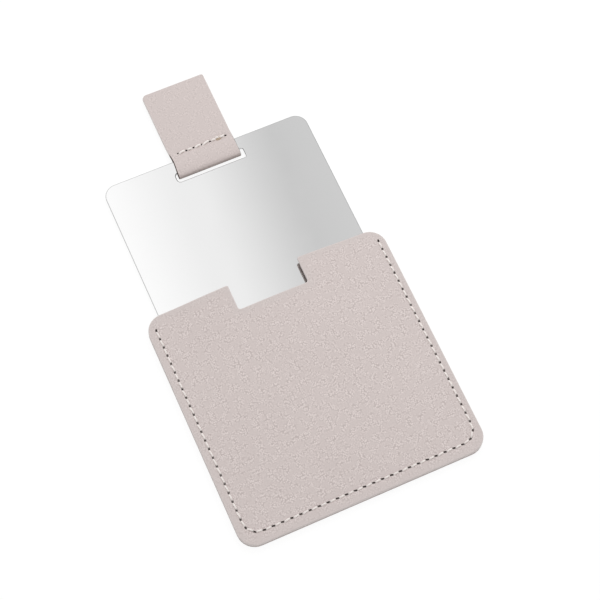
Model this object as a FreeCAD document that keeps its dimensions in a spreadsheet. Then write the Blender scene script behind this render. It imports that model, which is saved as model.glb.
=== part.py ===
"""Pull-out pocket mirror: a polished steel card in a sewn leather sleeve, drawn out by a folded leather tab.

The sleeve lies on its back panel. The origin is the middle of that panel's outer face, +X goes across the
sleeve, +Y points out of its mouth and +Z away from the table. The card is drawn out as far as it is carried
for a quick look, and every size is in millimetres.
"""
import FreeCAD
import Part
import math
import os

import Sketcher

Vector = FreeCAD.Vector
UP = Vector(0, 0, 1)
ORIGIN_POINT = (-1, 1)
LINE_START = 1
LINE_END = 2
ARC_CENTRE = 3
SAME_PLACE = 1e-6

SIZES = {
    # The steel card and the slot that its strap goes through.
    "mirror_width": 75.0,
    "mirror_height": 79.5,
    "mirror_thickness": 0.6,
    "mirror_corner_radius": 4.5,
    "card_out": 51.0,
    "bridge_width": 4.6,
    "slot_side_clearance": 1.15,
    "slot_gap": 1.05,
    "slot_corner_radius": 0.9,
    # The room that the card has in the pocket.
    "pocket_clearance": 0.1,
    "side_clearance": 0.9,
    "pocket_end_gap": 0.2,
    "pocket_corner_radius": 3.5,
    "mouth_margin": 0.1,
    # The two panels, and the filler strip between them.
    "skin_thickness": 0.8,
    "lining_thickness": 0.4,
    "welt_width": 4.6,
    "welt_end_margin": 1.5,
    "sleeve_corner_radius": 6.0,
    "mouth_rise": 2.35,
    "arch_foot_width": 9.6,
    # The thumb notch at the mouth.
    "notch_side_clearance": 0.8,
    "notch_end_gap": 2.35,
    "notch_lip_radius": 1.2,
    "notch_inner_radius": 1.0,
    # The lock-stitched seam.
    "seam_side_inset": 2.6,
    "seam_bottom_inset": 3.6,
    "seam_corner_radius": 5.0,
    "seam_end_gap": 4.8,
    "stitch_pitch": 3.17,
    "thread_diameter": 0.42,
    "thread_bend_radius": 0.3,
    "thread_gap": 0.14,
    "thread_clearance": 0.03,
    "stitch_channel_depth": 0.2,
    # The pull tab: one strap, folded through the slot and sewn to itself.
    "tab_width": 23.0,
    "tab_reach": 27.9,
    "tab_corner_radius": 1.4,
    "strap_thickness": 0.9,
    "loop_clearance": 0.25,
    "loop_slack": 1.55,
    "flex_gap": 0.2,
    "flex_clearance": 0.06,
    "tab_stitch_rise": 0.9,
    "tab_stitch_margin": 2.7,
    "tab_stitch_pitch": 2.95,
}

# Lengths that follow from the driving sizes.
HALF_POCKET = "(Sizes.mirror_width / 2 + Sizes.side_clearance)"
HALF_SLEEVE = f"({HALF_POCKET} + Sizes.welt_width)"
SLEEVE_LENGTH = "(Sizes.mirror_height + Sizes.pocket_end_gap + Sizes.mouth_margin + Sizes.welt_width)"
MOUTH = f"({SLEEVE_LENGTH} / 2)"
POCKET_FLOOR = f"(Sizes.welt_width - {MOUTH})"
POCKET_DEPTH = "(Sizes.mirror_thickness + 2 * Sizes.pocket_clearance)"
PANEL = "(Sizes.skin_thickness + Sizes.lining_thickness)"
FRONT_PANEL_LEVEL = f"({PANEL} + {POCKET_DEPTH})"
SLEEVE_THICKNESS = f"({FRONT_PANEL_LEVEL} + {PANEL})"
CARD_MIDDLE = f"({PANEL} + {POCKET_DEPTH} / 2)"
CARD_TOP = f"({MOUTH} + Sizes.card_out)"
LOOP_INNER_RADIUS = "(Sizes.mirror_thickness / 2 + Sizes.loop_clearance)"
LOOP_OUTER_RADIUS = f"({LOOP_INNER_RADIUS} + Sizes.strap_thickness)"
LOOP_DROP = "(Sizes.bridge_width + Sizes.loop_slack)"
FOLD_CENTRE = f"({CARD_TOP} - {LOOP_DROP} + {LOOP_INNER_RADIUS})"
SLOT_TOP = f"({CARD_TOP} - Sizes.bridge_width)"
SLOT_BOTTOM = f"({CARD_TOP} - {LOOP_DROP} - Sizes.strap_thickness - Sizes.slot_gap)"
HALF_SLOT = "(Sizes.tab_width / 2 + Sizes.slot_side_clearance)"
FLEX_LINE = f"({CARD_TOP} + Sizes.flex_gap + Sizes.strap_thickness)"
STITCH_PROUD = "(Sizes.thread_diameter + Sizes.thread_clearance - Sizes.stitch_channel_depth)"
LOOP_END = f"({FLEX_LINE} - Sizes.strap_thickness - {STITCH_PROUD} - Sizes.flex_clearance)"
TAB_END = f"({CARD_TOP} + Sizes.tab_reach)"
HALF_NOTCH = "(Sizes.tab_width / 2 + Sizes.notch_side_clearance)"
NOTCH_FLOOR = f"({MOUTH} - Sizes.mouth_margin - {LOOP_DROP} - Sizes.strap_thickness - Sizes.notch_end_gap)"
LEG_SPACING = "(Sizes.thread_diameter + Sizes.thread_gap)"
CHANNEL_WIDTH = "(Sizes.thread_diameter + 2 * Sizes.thread_clearance)"
HOLE_DIAMETER = f"({LEG_SPACING} + {CHANNEL_WIDTH})"
WELT_END = f"({MOUTH} - Sizes.seam_end_gap + Sizes.welt_end_margin)"
# How far blanks and cutters run past the edge that they are cut to.
OVERCUT = "(Sizes.welt_width / 2)"

doc = FreeCAD.newDocument("pocket_mirror")
sheet = doc.addObject("Spreadsheet::Sheet", "Sizes")
for row, (alias, number) in enumerate(SIZES.items(), start=1):
    sheet.set(f"A{row}", alias)
    sheet.set(f"B{row}", str(number))
    sheet.setAlias(f"B{row}", alias)
doc.recompute()


def measure(expression):
    """Returns what an expression of the sheet's sizes comes to."""
    return float(sheet.evalExpression(expression))


def new_body(label):
    """Returns an empty body with its label."""
    body = doc.addObject("PartDesign::Body", label)
    body.Label = label
    return body


def new_sketch(body, name, plane, height=None):
    """Returns a sketch on one of the body's origin planes, raised along the plane's normal."""
    sketch = body.newObject("Sketcher::SketchObject", name)
    support = next(item for item in body.Origin.OriginFeatures if item.Role == plane)
    sketch.AttachmentSupport = [(support, "")]
    sketch.MapMode = "FlatFace"
    if height is not None:
        sketch.setExpression("AttachmentOffset.Base.z", height)
    return sketch


def set_length(sketch, kind, ends, expression):
    """Adds a dimension between two points of a sketch and ties it to the sheet, whichever way it points."""
    length = measure(expression)
    if length < 0:
        ends = ends[2:] + ends[:2]
        expression = f"-({expression})"
    index = sketch.addConstraint(Sketcher.Constraint(kind, *ends, abs(length)))
    sketch.setExpression(f"Constraints[{index}]", expression)


def set_radius(sketch, arc, expression):
    """Ties the radius of an arc to the sheet."""
    index = sketch.addConstraint(Sketcher.Constraint("Radius", arc, measure(expression)))
    sketch.setExpression(f"Constraints[{index}]", expression)


def add_arc(sketch, centre, start, end):
    """Adds the arc that runs anticlockwise about a centre from one point to another."""
    first = math.atan2(start.y - centre.y, start.x - centre.x)
    last = math.atan2(end.y - centre.y, end.x - centre.x)
    circle = Part.Circle(centre, UP, (start - centre).Length)
    return sketch.addGeometry(Part.ArcOfCircle(circle, first, last if last > first else last + 2 * math.pi))


def draw_outline(sketch, corners):
    """Draws a closed outline of level and upright lines, each corner given as x, y and radius or None."""
    count = len(corners)
    points = [Vector(measure(x), measure(y), 0) for x, y, _ in corners]
    radii = [measure(radius) if radius else 0 for _, _, radius in corners]
    headings = [(points[(i + 1) % count] - points[i]).normalize() for i in range(count)]
    lines = []
    for i in range(count):
        after = (i + 1) % count
        start = points[i] + headings[i] * radii[i]
        end = points[after] - headings[i] * radii[after]
        line = sketch.addGeometry(Part.LineSegment(start, end))
        level = abs(headings[i].x) > abs(headings[i].y)
        sketch.addConstraint(Sketcher.Constraint("Horizontal" if level else "Vertical", line))
        kind, place = ("DistanceY", corners[i][1]) if level else ("DistanceX", corners[i][0])
        set_length(sketch, kind, ORIGIN_POINT + (line, LINE_START), place)
        lines.append(line)
    for i in range(count):
        before, after = lines[i - 1], lines[i]
        if not corners[i][2]:
            sketch.addConstraint(Sketcher.Constraint("Coincident", before, LINE_END, after, LINE_START))
            continue
        start = points[i] - headings[i - 1] * radii[i]
        end = points[i] + headings[i] * radii[i]
        centre = start + headings[i] * radii[i]
        left_turn = headings[i - 1].cross(headings[i]).z > 0
        arc = add_arc(sketch, centre, start, end) if left_turn else add_arc(sketch, centre, end, start)
        arc_in, arc_out = (LINE_START, LINE_END) if left_turn else (LINE_END, LINE_START)
        sketch.addConstraint(Sketcher.Constraint("Tangent", before, LINE_END, arc, arc_in))
        sketch.addConstraint(Sketcher.Constraint("Tangent", arc, arc_out, after, LINE_START))
        set_radius(sketch, arc, corners[i][2])


def draw_chain(sketch, points, bends):
    """Draws a closed chain of edges through points, given as x and y. An edge in bends is an arc.

    A bend gives the radius and the side of the chord that the arc's centre lies on: 1 is the left. A bend
    without a radius is a half turn on an upright chord.
    """
    count = len(points)
    places = [Vector(measure(x), measure(y), 0) for x, y in points]
    starts = []
    for i in range(count):
        start, end = places[i], places[(i + 1) % count]
        if i not in bends:
            edge = sketch.addGeometry(Part.LineSegment(start, end))
            starts.append((edge, LINE_START, LINE_END))
            continue
        radius, side = bends[i]
        chord = end - start
        drop = math.sqrt(measure(radius) ** 2 - chord.Length ** 2 / 4) if radius else 0
        centre = (start + end) * 0.5 + UP.cross(chord).normalize() * drop * side
        if side > 0:
            starts.append((add_arc(sketch, centre, start, end), LINE_START, LINE_END))
        else:
            starts.append((add_arc(sketch, centre, end, start), LINE_END, LINE_START))
    for i in range(count):
        edge, first, last = starts[i]
        follower, follower_first, _ = starts[(i + 1) % count]
        sketch.addConstraint(Sketcher.Constraint("Coincident", edge, last, follower, follower_first))
        set_length(sketch, "DistanceX", ORIGIN_POINT + (edge, first), points[i][0])
        set_length(sketch, "DistanceY", ORIGIN_POINT + (edge, first), points[i][1])
        if i in bends and bends[i][0]:
            set_radius(sketch, edge, bends[i][0])
        elif i in bends:
            sketch.addConstraint(Sketcher.Constraint("Vertical", edge, first, edge, ARC_CENTRE))


def rectangle(half_width, bottom, top, radius=None):
    """Returns the corners of a rectangle about the middle line, all with one radius."""
    return [(f"-{half_width}", bottom, radius), (half_width, bottom, radius),
            (half_width, top, radius), (f"-{half_width}", top, radius)]


def sleeve_outline():
    """Returns the corners of a sleeve panel: a rounded rectangle with the thumb notch in its mouth edge."""
    round_corner = "Sizes.sleeve_corner_radius"
    lip = "Sizes.notch_lip_radius"
    inner = "Sizes.notch_inner_radius"
    return [
        (f"-{HALF_SLEEVE}", f"-{MOUTH}", round_corner),
        (HALF_SLEEVE, f"-{MOUTH}", round_corner),
        (HALF_SLEEVE, MOUTH, round_corner),
        (HALF_NOTCH, MOUTH, lip),
        (HALF_NOTCH, NOTCH_FLOOR, inner),
        (f"-{HALF_NOTCH}", NOTCH_FLOOR, inner),
        (f"-{HALF_NOTCH}", MOUTH, lip),
        (f"-{HALF_SLEEVE}", MOUTH, round_corner),
    ]


def pad(body, sketch, thickness):
    """Raises a sketch by a thickness."""
    feature = body.newObject("PartDesign::Pad", f"{sketch.Name}_pad")
    feature.Profile = sketch
    feature.setExpression("Length", thickness)
    return feature


def pocket_upwards(body, sketch):
    """Cuts a sketch right through what lies above it, and makes sure that it takes something away."""
    doc.recompute()
    before = body.Shape.Volume
    feature = body.newObject("PartDesign::Pocket", f"{sketch.Name}_pocket")
    feature.Profile = sketch
    feature.Type = "ThroughAll"
    feature.Reversed = True
    doc.recompute()
    if body.Shape.Volume >= before:
        raise RuntimeError(f"{feature.Name} cuts nothing")


def trim_to_panel(body):
    """Cuts away what lies outside a sleeve panel's outline."""
    sketch = new_sketch(body, f"{body.Name}_trim", "XY_Plane")
    margin = f"2 * {OVERCUT}"
    far_side = f"({HALF_SLEEVE} + {margin})"
    far_end = f"({MOUTH} + {margin})"
    draw_outline(sketch, rectangle(far_side, f"-{far_end}", far_end))
    draw_outline(sketch, sleeve_outline())
    pocket_upwards(body, sketch)


def flat_panel(label, level, thickness):
    """Returns a flat layer of the back panel."""
    body = new_body(label)
    sketch = new_sketch(body, f"{label}_outline", "XY_Plane", level)
    draw_outline(sketch, sleeve_outline())
    pad(body, sketch, thickness)
    return body


def arch_section(body, name, station, rise, level, thickness):
    """Returns a section of a front layer: level over the seam, arched between by a foot and a crown arc.

    A section without a rise has straight edges between the same points.
    """
    sketch = new_sketch(body, name, "XZ_Plane", f"-({station})")
    rim = f"({HALF_SLEEVE} + {OVERCUT})"
    bend = f"({HALF_POCKET} - Sizes.arch_foot_width)"
    lift = f"({rise} * Sizes.arch_foot_width / {HALF_POCKET})" if rise else "0"
    under = [(f"-{rim}", "0"), (f"-{HALF_POCKET}", "0"), (f"-{bend}", lift),
             (bend, lift), (HALF_POCKET, "0"), (rim, "0")]
    points = [(x, f"{level} + {z}") for x, z in under]
    points += [(x, f"{level} + {thickness} + {z}") for x, z in reversed(under)]
    bends = {}
    if rise:
        slope = f"sin(2 * atan({rise} / {HALF_POCKET}))"
        foot = f"Sizes.arch_foot_width / {slope}"
        crown = f"{bend} / {slope}"
        bends = {1: (foot, 1), 2: (crown, -1), 3: (foot, 1), 7: (foot, -1), 8: (crown, 1), 9: (foot, -1)}
    draw_chain(sketch, points, bends)
    return sketch


def arched_panel(label, level, thickness):
    """Returns a layer of the front panel, which rises from the bottom seam to its arched mouth."""
    body = new_body(label)
    past_mouth = f"({MOUTH} + {OVERCUT})"
    past_bottom = f"-({MOUTH} + {OVERCUT})"
    end_rise = f"(Sizes.mouth_rise * ({past_mouth} - {POCKET_FLOOR}) / ({MOUTH} - {POCKET_FLOOR}))"
    rim = arch_section(body, f"{label}_rim", past_bottom, None, level, thickness)
    foot = arch_section(body, f"{label}_foot", POCKET_FLOOR, None, level, thickness)
    mouth = arch_section(body, f"{label}_mouth", past_mouth, end_rise, level, thickness)
    loft = body.newObject("PartDesign::AdditiveLoft", f"{label}_loft")
    loft.Profile = rim
    loft.Sections = [foot, mouth]
    loft.Ruled = True
    trim_to_panel(body)
    return body


def seam_welt(label):
    """Returns the U-shaped filler strip between the two panels, open at the mouth."""
    body = new_body(label)
    inner = "Sizes.pocket_corner_radius"
    sketch = new_sketch(body, f"{label}_outline", "XY_Plane", PANEL)
    draw_outline(sketch, [
        (f"-{HALF_SLEEVE}", f"-{MOUTH}", None), (HALF_SLEEVE, f"-{MOUTH}", None),
        (HALF_SLEEVE, WELT_END, None), (HALF_POCKET, WELT_END, None),
        (HALF_POCKET, POCKET_FLOOR, inner), (f"-{HALF_POCKET}", POCKET_FLOOR, inner),
        (f"-{HALF_POCKET}", WELT_END, None), (f"-{HALF_SLEEVE}", WELT_END, None),
    ])
    pad(body, sketch, POCKET_DEPTH)
    trim_to_panel(body)
    return body


def mirror_plate(label):
    """Returns the steel card with the slot for its strap."""
    body = new_body(label)
    underside = f"{CARD_MIDDLE} - Sizes.mirror_thickness / 2"
    outline = new_sketch(body, f"{label}_outline", "XY_Plane", underside)
    bottom = f"{CARD_TOP} - Sizes.mirror_height"
    draw_outline(outline, rectangle("Sizes.mirror_width / 2", bottom, CARD_TOP, "Sizes.mirror_corner_radius"))
    pad(body, outline, "Sizes.mirror_thickness")
    slot = new_sketch(body, f"{label}_slot", "XY_Plane")
    draw_outline(slot, rectangle(HALF_SLOT, SLOT_BOTTOM, SLOT_TOP, "Sizes.slot_corner_radius"))
    pocket_upwards(body, slot)
    return body


def pad_across(body, sketch):
    """Raises a side-view sketch of the strap to both sides, to the tab's width."""
    feature = pad(body, sketch, "Sizes.tab_width")
    feature.SideType = "Symmetric"
    return feature


def tab_loop(label):
    """Returns the hairpin of strap that goes through the slot and round the bridge of the card."""
    body = new_body(label)
    sketch = new_sketch(body, f"{label}_side", "YZ_Plane")
    outer_front = f"{CARD_MIDDLE} + {LOOP_OUTER_RADIUS}"
    outer_back = f"{CARD_MIDDLE} - {LOOP_OUTER_RADIUS}"
    inner_front = f"{CARD_MIDDLE} + {LOOP_INNER_RADIUS}"
    inner_back = f"{CARD_MIDDLE} - {LOOP_INNER_RADIUS}"
    points = [(LOOP_END, outer_front), (FOLD_CENTRE, outer_front),
              (FOLD_CENTRE, outer_back), (LOOP_END, outer_back),
              (LOOP_END, inner_back), (FOLD_CENTRE, inner_back),
              (FOLD_CENTRE, inner_front), (LOOP_END, inner_front)]
    draw_chain(sketch, points, {1: (None, 1), 5: (None, -1)})
    pad_across(body, sketch)
    return body


def tab_leaf(label):
    """Returns the doubled free end of the strap, with a round edge where it flexes."""
    body = new_body(label)
    sketch = new_sketch(body, f"{label}_side", "YZ_Plane")
    front = f"{CARD_MIDDLE} + Sizes.strap_thickness"
    back = f"{CARD_MIDDLE} - Sizes.strap_thickness"
    points = [(FLEX_LINE, front), (FLEX_LINE, back), (TAB_END, back), (TAB_END, front)]
    draw_chain(sketch, points, {0: (None, 1)})
    strip = pad_across(body, sketch)
    doc.recompute()
    corners = []
    for index, edge in enumerate(strip.Shape.Edges, start=1):
        upright = edge.tangentAt(edge.FirstParameter).cross(UP).Length < SAME_PLACE
        if upright and abs(edge.CenterOfMass.y - measure(TAB_END)) < SAME_PLACE:
            corners.append(f"Edge{index}")
    rounding = body.newObject("PartDesign::Fillet", f"{label}_corners")
    rounding.Base = (strip, corners)
    rounding.setExpression("Radius", "Sizes.tab_corner_radius")
    return body


def seam_holes():
    """Returns the needle holes of the sleeve's seam, down one side, round the bottom and up the other."""
    side = measure(f"{HALF_SLEEVE} - Sizes.seam_side_inset")
    bottom = measure(f"Sizes.seam_bottom_inset - {MOUTH}")
    top = measure(f"{MOUTH} - Sizes.seam_end_gap")
    turn = measure("Sizes.seam_corner_radius")
    left, right, bend = turn - side, side - turn, bottom + turn
    left_corner = Part.Circle(Vector(left, bend, 0), UP, turn)
    right_corner = Part.Circle(Vector(right, bend, 0), UP, turn)
    stretches = [
        Part.LineSegment(Vector(-side, top, 0), Vector(-side, bend, 0)),
        Part.ArcOfCircle(left_corner, math.pi, 1.5 * math.pi),
        Part.LineSegment(Vector(left, bottom, 0), Vector(right, bottom, 0)),
        Part.ArcOfCircle(right_corner, 1.5 * math.pi, 2 * math.pi),
        Part.LineSegment(Vector(side, bend, 0), Vector(side, top, 0)),
    ]
    route = Part.Wire([stretch.toShape() for stretch in stretches])
    stitches = round(route.Length / measure("Sizes.stitch_pitch"))
    return route.discretize(Number=stitches + 1)


def tab_holes():
    """Returns the needle holes of the tab's stitch row."""
    half_row = measure("Sizes.tab_width / 2 - Sizes.tab_stitch_margin")
    row_place = measure(f"{FLEX_LINE} + Sizes.tab_stitch_rise")
    stitches = round(2 * half_row / measure("Sizes.tab_stitch_pitch"))
    step = 2 * half_row / stitches
    return [Vector(step * index - half_row, row_place, 0) for index in range(stitches + 1)]


def stitch_feet(holes):
    """Returns where each stitch leaves a hole and enters the next, with two legs side by side in a hole."""
    reach = measure(LEG_SPACING) / 2
    chords = [(end - start).normalize() for start, end in zip(holes, holes[1:])]
    headings = [chords[0]]
    headings += [(before + after).normalize() for before, after in zip(chords, chords[1:])]
    headings.append(chords[-1])
    leaving = [hole + heading * reach for hole, heading in zip(holes, headings)]
    entering = [hole - heading * reach for hole, heading in zip(holes, headings)]
    return list(zip(leaving, entering[1:]))


def punch(name, holes, low, high, channels=()):
    """Returns the tool that pierces a layer at its needle holes and presses channels between them.

    Each channel is given as the two heights that it lies between.
    """
    radius = measure(HOLE_DIAMETER) / 2
    cutters = [Part.makeCylinder(radius, high - low, Vector(hole.x, hole.y, low)) for hole in holes]
    width = measure(CHANNEL_WIDTH)
    for floor, ceiling in channels:
        for start, end in stitch_feet(holes):
            corner = Vector(0, -width / 2, floor)
            groove = Part.makeBox((end - start).Length, width, ceiling - floor, corner)
            turn = math.degrees(math.atan2(end.y - start.y, end.x - start.x))
            groove.Placement = FreeCAD.Placement(start, FreeCAD.Rotation(UP, turn))
            cutters.append(groove)
    tool = doc.addObject("Part::Feature", name)
    tool.Shape = cutters[0].multiFuse(cutters[1:])
    return tool


def pierced(label, body, tool):
    """Returns a layer with its needle holes."""
    body.Label = f"{label}_blank"
    cut = doc.addObject("Part::Cut", label)
    cut.Label = label
    cut.Base = body
    cut.Tool = tool
    return cut


def thread(label, holes, bar_level, turn_level):
    """Returns one unbroken thread: a bar between each two holes, and two legs that turn back in each hole."""
    radius = measure("Sizes.thread_diameter / 2")
    bend = measure("Sizes.thread_bend_radius")
    reach = measure(LEG_SPACING) / 2
    rise = UP if bar_level > turn_level else -UP
    foot_level = turn_level + rise.z * (reach + radius + measure("Sizes.thread_clearance"))
    shoulder = abs(bar_level - foot_level) - bend
    slack = bend * (1 - math.sqrt(0.5))
    edges = []
    last_foot = None
    for start, end in stitch_feet(holes):
        along = (end - start).normalize()
        first_foot = start + UP * foot_level
        next_foot = end + UP * foot_level
        if last_foot is not None:
            crest = (last_foot + first_foot) * 0.5 - rise * reach
            edges.append(Part.Arc(last_foot, crest, first_foot).toShape())
        first_bend = first_foot + rise * shoulder
        bar_start = first_foot + rise * (shoulder + bend) + along * bend
        bar_end = next_foot + rise * (shoulder + bend) - along * bend
        next_bend = next_foot + rise * shoulder
        first_mid = first_foot + rise * (shoulder + bend - slack) + along * slack
        next_mid = next_foot + rise * (shoulder + bend - slack) - along * slack
        edges.append(Part.LineSegment(first_foot, first_bend).toShape())
        edges.append(Part.Arc(first_bend, first_mid, bar_start).toShape())
        edges.append(Part.LineSegment(bar_start, bar_end).toShape())
        edges.append(Part.Arc(bar_end, next_mid, next_bend).toShape())
        edges.append(Part.LineSegment(next_bend, next_foot).toShape())
        last_foot = next_foot
    route = Part.Wire(edges)
    beginning = edges[0].Vertexes[0].Point
    section = Part.Wire([Part.Circle(beginning, UP, radius).toShape()])
    feature = doc.addObject("Part::Feature", label)
    feature.Label = label
    feature.Shape = route.makePipeShell([section], True, False)
    expected = math.pi * radius ** 2 * route.Length
    print(f"{label}: volume {feature.Shape.Volume:.3f}, section times length {expected:.3f}")
    return feature


def build_sleeve():
    """Returns the pieces of the sleeve: two lined panels, the welt between them and the two threads."""
    holes = seam_holes()
    skin = measure("Sizes.skin_thickness")
    front = measure(SLEEVE_THICKNESS)
    middle = measure(CARD_MIDDLE)
    radius = measure("Sizes.thread_diameter / 2")
    clearance = measure("Sizes.thread_clearance")
    below = -measure(OVERCUT)
    above = front - below
    front_floor = front - measure("Sizes.stitch_channel_depth")
    back_floor = measure(CHANNEL_WIDTH)
    plain_punch = punch("seam_punch", holes, below, above)
    front_punch = punch("front_seam_punch", holes, below, above, [(front_floor, above)])
    back_punch = punch("back_seam_punch", holes, below, above, [(below, back_floor)])
    print(f"sleeve seam: {len(holes) - 1} stitches, skin left under the back channel {skin - back_floor:.2f}")
    skin_size, lining_size = "Sizes.skin_thickness", "Sizes.lining_thickness"
    front_skin_level = f"{FRONT_PANEL_LEVEL} + {lining_size}"
    return [
        pierced("back_skin", flat_panel("back_skin_blank", "0", skin_size), back_punch),
        pierced("back_lining", flat_panel("back_lining_blank", skin_size, lining_size), plain_punch),
        pierced("seam_welt", seam_welt("seam_welt_blank"), plain_punch),
        pierced("front_lining", arched_panel("front_lining_blank", FRONT_PANEL_LEVEL, lining_size),
                plain_punch),
        pierced("front_skin", arched_panel("front_skin_blank", front_skin_level, skin_size), front_punch),
        thread("seam_needle_thread", holes, front_floor + clearance + radius, middle),
        thread("seam_bobbin_thread", holes, back_floor - clearance - radius, middle),
    ]


def build_card():
    """Returns the pieces that slide: the steel card, and the loop of strap round its bridge."""
    return [mirror_plate("mirror_plate"), tab_loop("tab_loop")]


def build_tab():
    """Returns the pieces that swing: the free end of the strap and the two threads of its stitch row."""
    holes = tab_holes()
    middle = measure(CARD_MIDDLE)
    half = measure("Sizes.strap_thickness")
    floor = half - measure("Sizes.stitch_channel_depth")
    bar = floor + measure("Sizes.thread_diameter / 2 + Sizes.thread_clearance")
    over = half + measure(OVERCUT)
    channels = [(middle + floor, middle + over), (middle - over, middle - floor)]
    tab_punch = punch("tab_punch", holes, middle - over, middle + over, channels)
    return [
        pierced("tab_leaf", tab_leaf("tab_leaf_blank"), tab_punch),
        thread("tab_needle_thread", holes, middle + bar, middle),
        thread("tab_bobbin_thread", holes, middle - bar, middle),
    ]


def check(pieces):
    """Stops if an object failed or a piece is no sound solid."""
    doc.recompute()
    for item in doc.Objects:
        if {"Invalid", "Error"} & set(item.State):
            raise RuntimeError(f"{item.Label} failed: {item.State}")
    for piece in pieces:
        if piece.Shape.isNull() or not piece.Shape.isValid() or not piece.Shape.Solids:
            raise RuntimeError(f"{piece.Label} is no sound solid")


def main():
    """Builds every piece and writes it to its own file."""
    pieces = build_sleeve() + build_card() + build_tab()
    check(pieces)
    os.makedirs("parts", exist_ok=True)
    for piece in pieces:
        piece.Shape.exportStep(f"parts/{piece.Label}.step")
        print(f"{piece.Label}: {len(piece.Shape.Solids)} solid, {piece.Shape.Volume:.2f} mm3")


main()
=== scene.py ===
"""Looks of a pull-out pocket mirror: a polished steel card with a leather pull tab, in a sewn leather sleeve.

Lengths are in metres in the CAD frame: +X across the sleeve, +Y out of its mouth, +Z up from the table.
"""

import logging
import math
from dataclasses import dataclass, field
from enum import Enum, IntEnum
from functools import partial
from typing import Any, Callable, Optional, Union

import bmesh
import bpy
import numpy as np
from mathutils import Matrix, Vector, geometry, kdtree, noise


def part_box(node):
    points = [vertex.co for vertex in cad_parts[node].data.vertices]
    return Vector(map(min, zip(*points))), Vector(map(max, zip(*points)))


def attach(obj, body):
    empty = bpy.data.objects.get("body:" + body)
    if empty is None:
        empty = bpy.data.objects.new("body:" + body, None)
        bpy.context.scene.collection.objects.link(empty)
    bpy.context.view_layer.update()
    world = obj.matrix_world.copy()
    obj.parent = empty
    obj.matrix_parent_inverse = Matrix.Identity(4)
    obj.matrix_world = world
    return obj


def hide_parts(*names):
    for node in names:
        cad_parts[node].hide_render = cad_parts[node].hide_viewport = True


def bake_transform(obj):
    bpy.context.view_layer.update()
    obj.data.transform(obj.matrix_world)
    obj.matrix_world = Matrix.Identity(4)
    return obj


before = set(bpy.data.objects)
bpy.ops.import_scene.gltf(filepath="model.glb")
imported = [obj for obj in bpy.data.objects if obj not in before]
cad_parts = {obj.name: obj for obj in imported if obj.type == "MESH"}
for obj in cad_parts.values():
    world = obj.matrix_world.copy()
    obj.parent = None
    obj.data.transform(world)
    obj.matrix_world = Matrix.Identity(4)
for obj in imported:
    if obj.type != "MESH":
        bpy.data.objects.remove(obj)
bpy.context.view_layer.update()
LOG = logging.getLogger("pocket_mirror")

MM = 0.001
PHOTO_PIXELS = 600
Points = np.ndarray
Height = Callable[[Points], np.ndarray]
Pair = tuple[float, float]
Place = tuple[float, float, float]
AddNode = Callable[..., bpy.types.Node]


class Zone(IntEnum):
    """The material slots of a leather piece."""

    FACE = 0
    EDGE = 1
    BACKING = 2


class Side(Enum):
    """The side of a seam or tab that a row of stitches lies on, as the way it faces."""

    FRONT = 1.0
    BACK = -1.0


def linear(code: str) -> tuple[float, float, float, float]:
    """Turns an sRGB hex colour into linear RGBA.

    Args:
        code: The colour as "#RRGGBB".

    Returns:
        The linear red, green and blue, and an alpha of 1.
    """
    shares = [int(code[start:start + 2], 16) / 255 for start in (1, 3, 5)]
    red, green, blue = [s / 12.92 if s <= 0.04045 else ((s + 0.055) / 1.055) ** 2.4 for s in shares]
    return red, green, blue, 1.0


def add_node(tree: bpy.types.NodeTree, kind: str, inputs: Union[dict, tuple] = (),
             **settings: Any) -> bpy.types.Node:
    """Adds a node, sets its properties and fills or links its inputs.

    Args:
        tree: The node tree that gets the node.
        kind: The node's type name.
        inputs: What each input gets, in order or by the input's name or place: a value, a source socket, or a
            node whose first output is the source.
        settings: The node's own properties.

    Returns:
        The new node.
    """
    node = tree.nodes.new(kind)
    for name, value in settings.items():
        setattr(node, name, value)
    for key, value in inputs.items() if isinstance(inputs, dict) else enumerate(inputs):
        source = value.outputs[0] if isinstance(value, bpy.types.Node) else value
        if isinstance(source, bpy.types.NodeSocket):
            tree.links.new(source, node.inputs[key])
        else:
            node.inputs[key].default_value = source
    return node


def per_metre(size_mm: float) -> float:
    """Returns the texture scale at which one repeat measures the given millimetres."""
    return 1.0 / (size_mm * MM)


@dataclass(frozen=True)
class Finish:
    """A finish, made as a procedural material of the same name."""

    name: str

    def surface(self, add: AddNode) -> bpy.types.Node:
        """Adds the finish's own nodes to a material's tree and returns its shader."""
        raise NotImplementedError(self.name)

    def material(self) -> bpy.types.Material:
        """Builds the material.

        Returns:
            The material, which shows the finish's shader.
        """
        material = bpy.data.materials.new(self.name)
        material.use_nodes = True
        material.node_tree.nodes.clear()
        add = partial(add_node, material.node_tree)
        add("ShaderNodeOutputMaterial", {"Surface": self.surface(add)})
        return material


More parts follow.
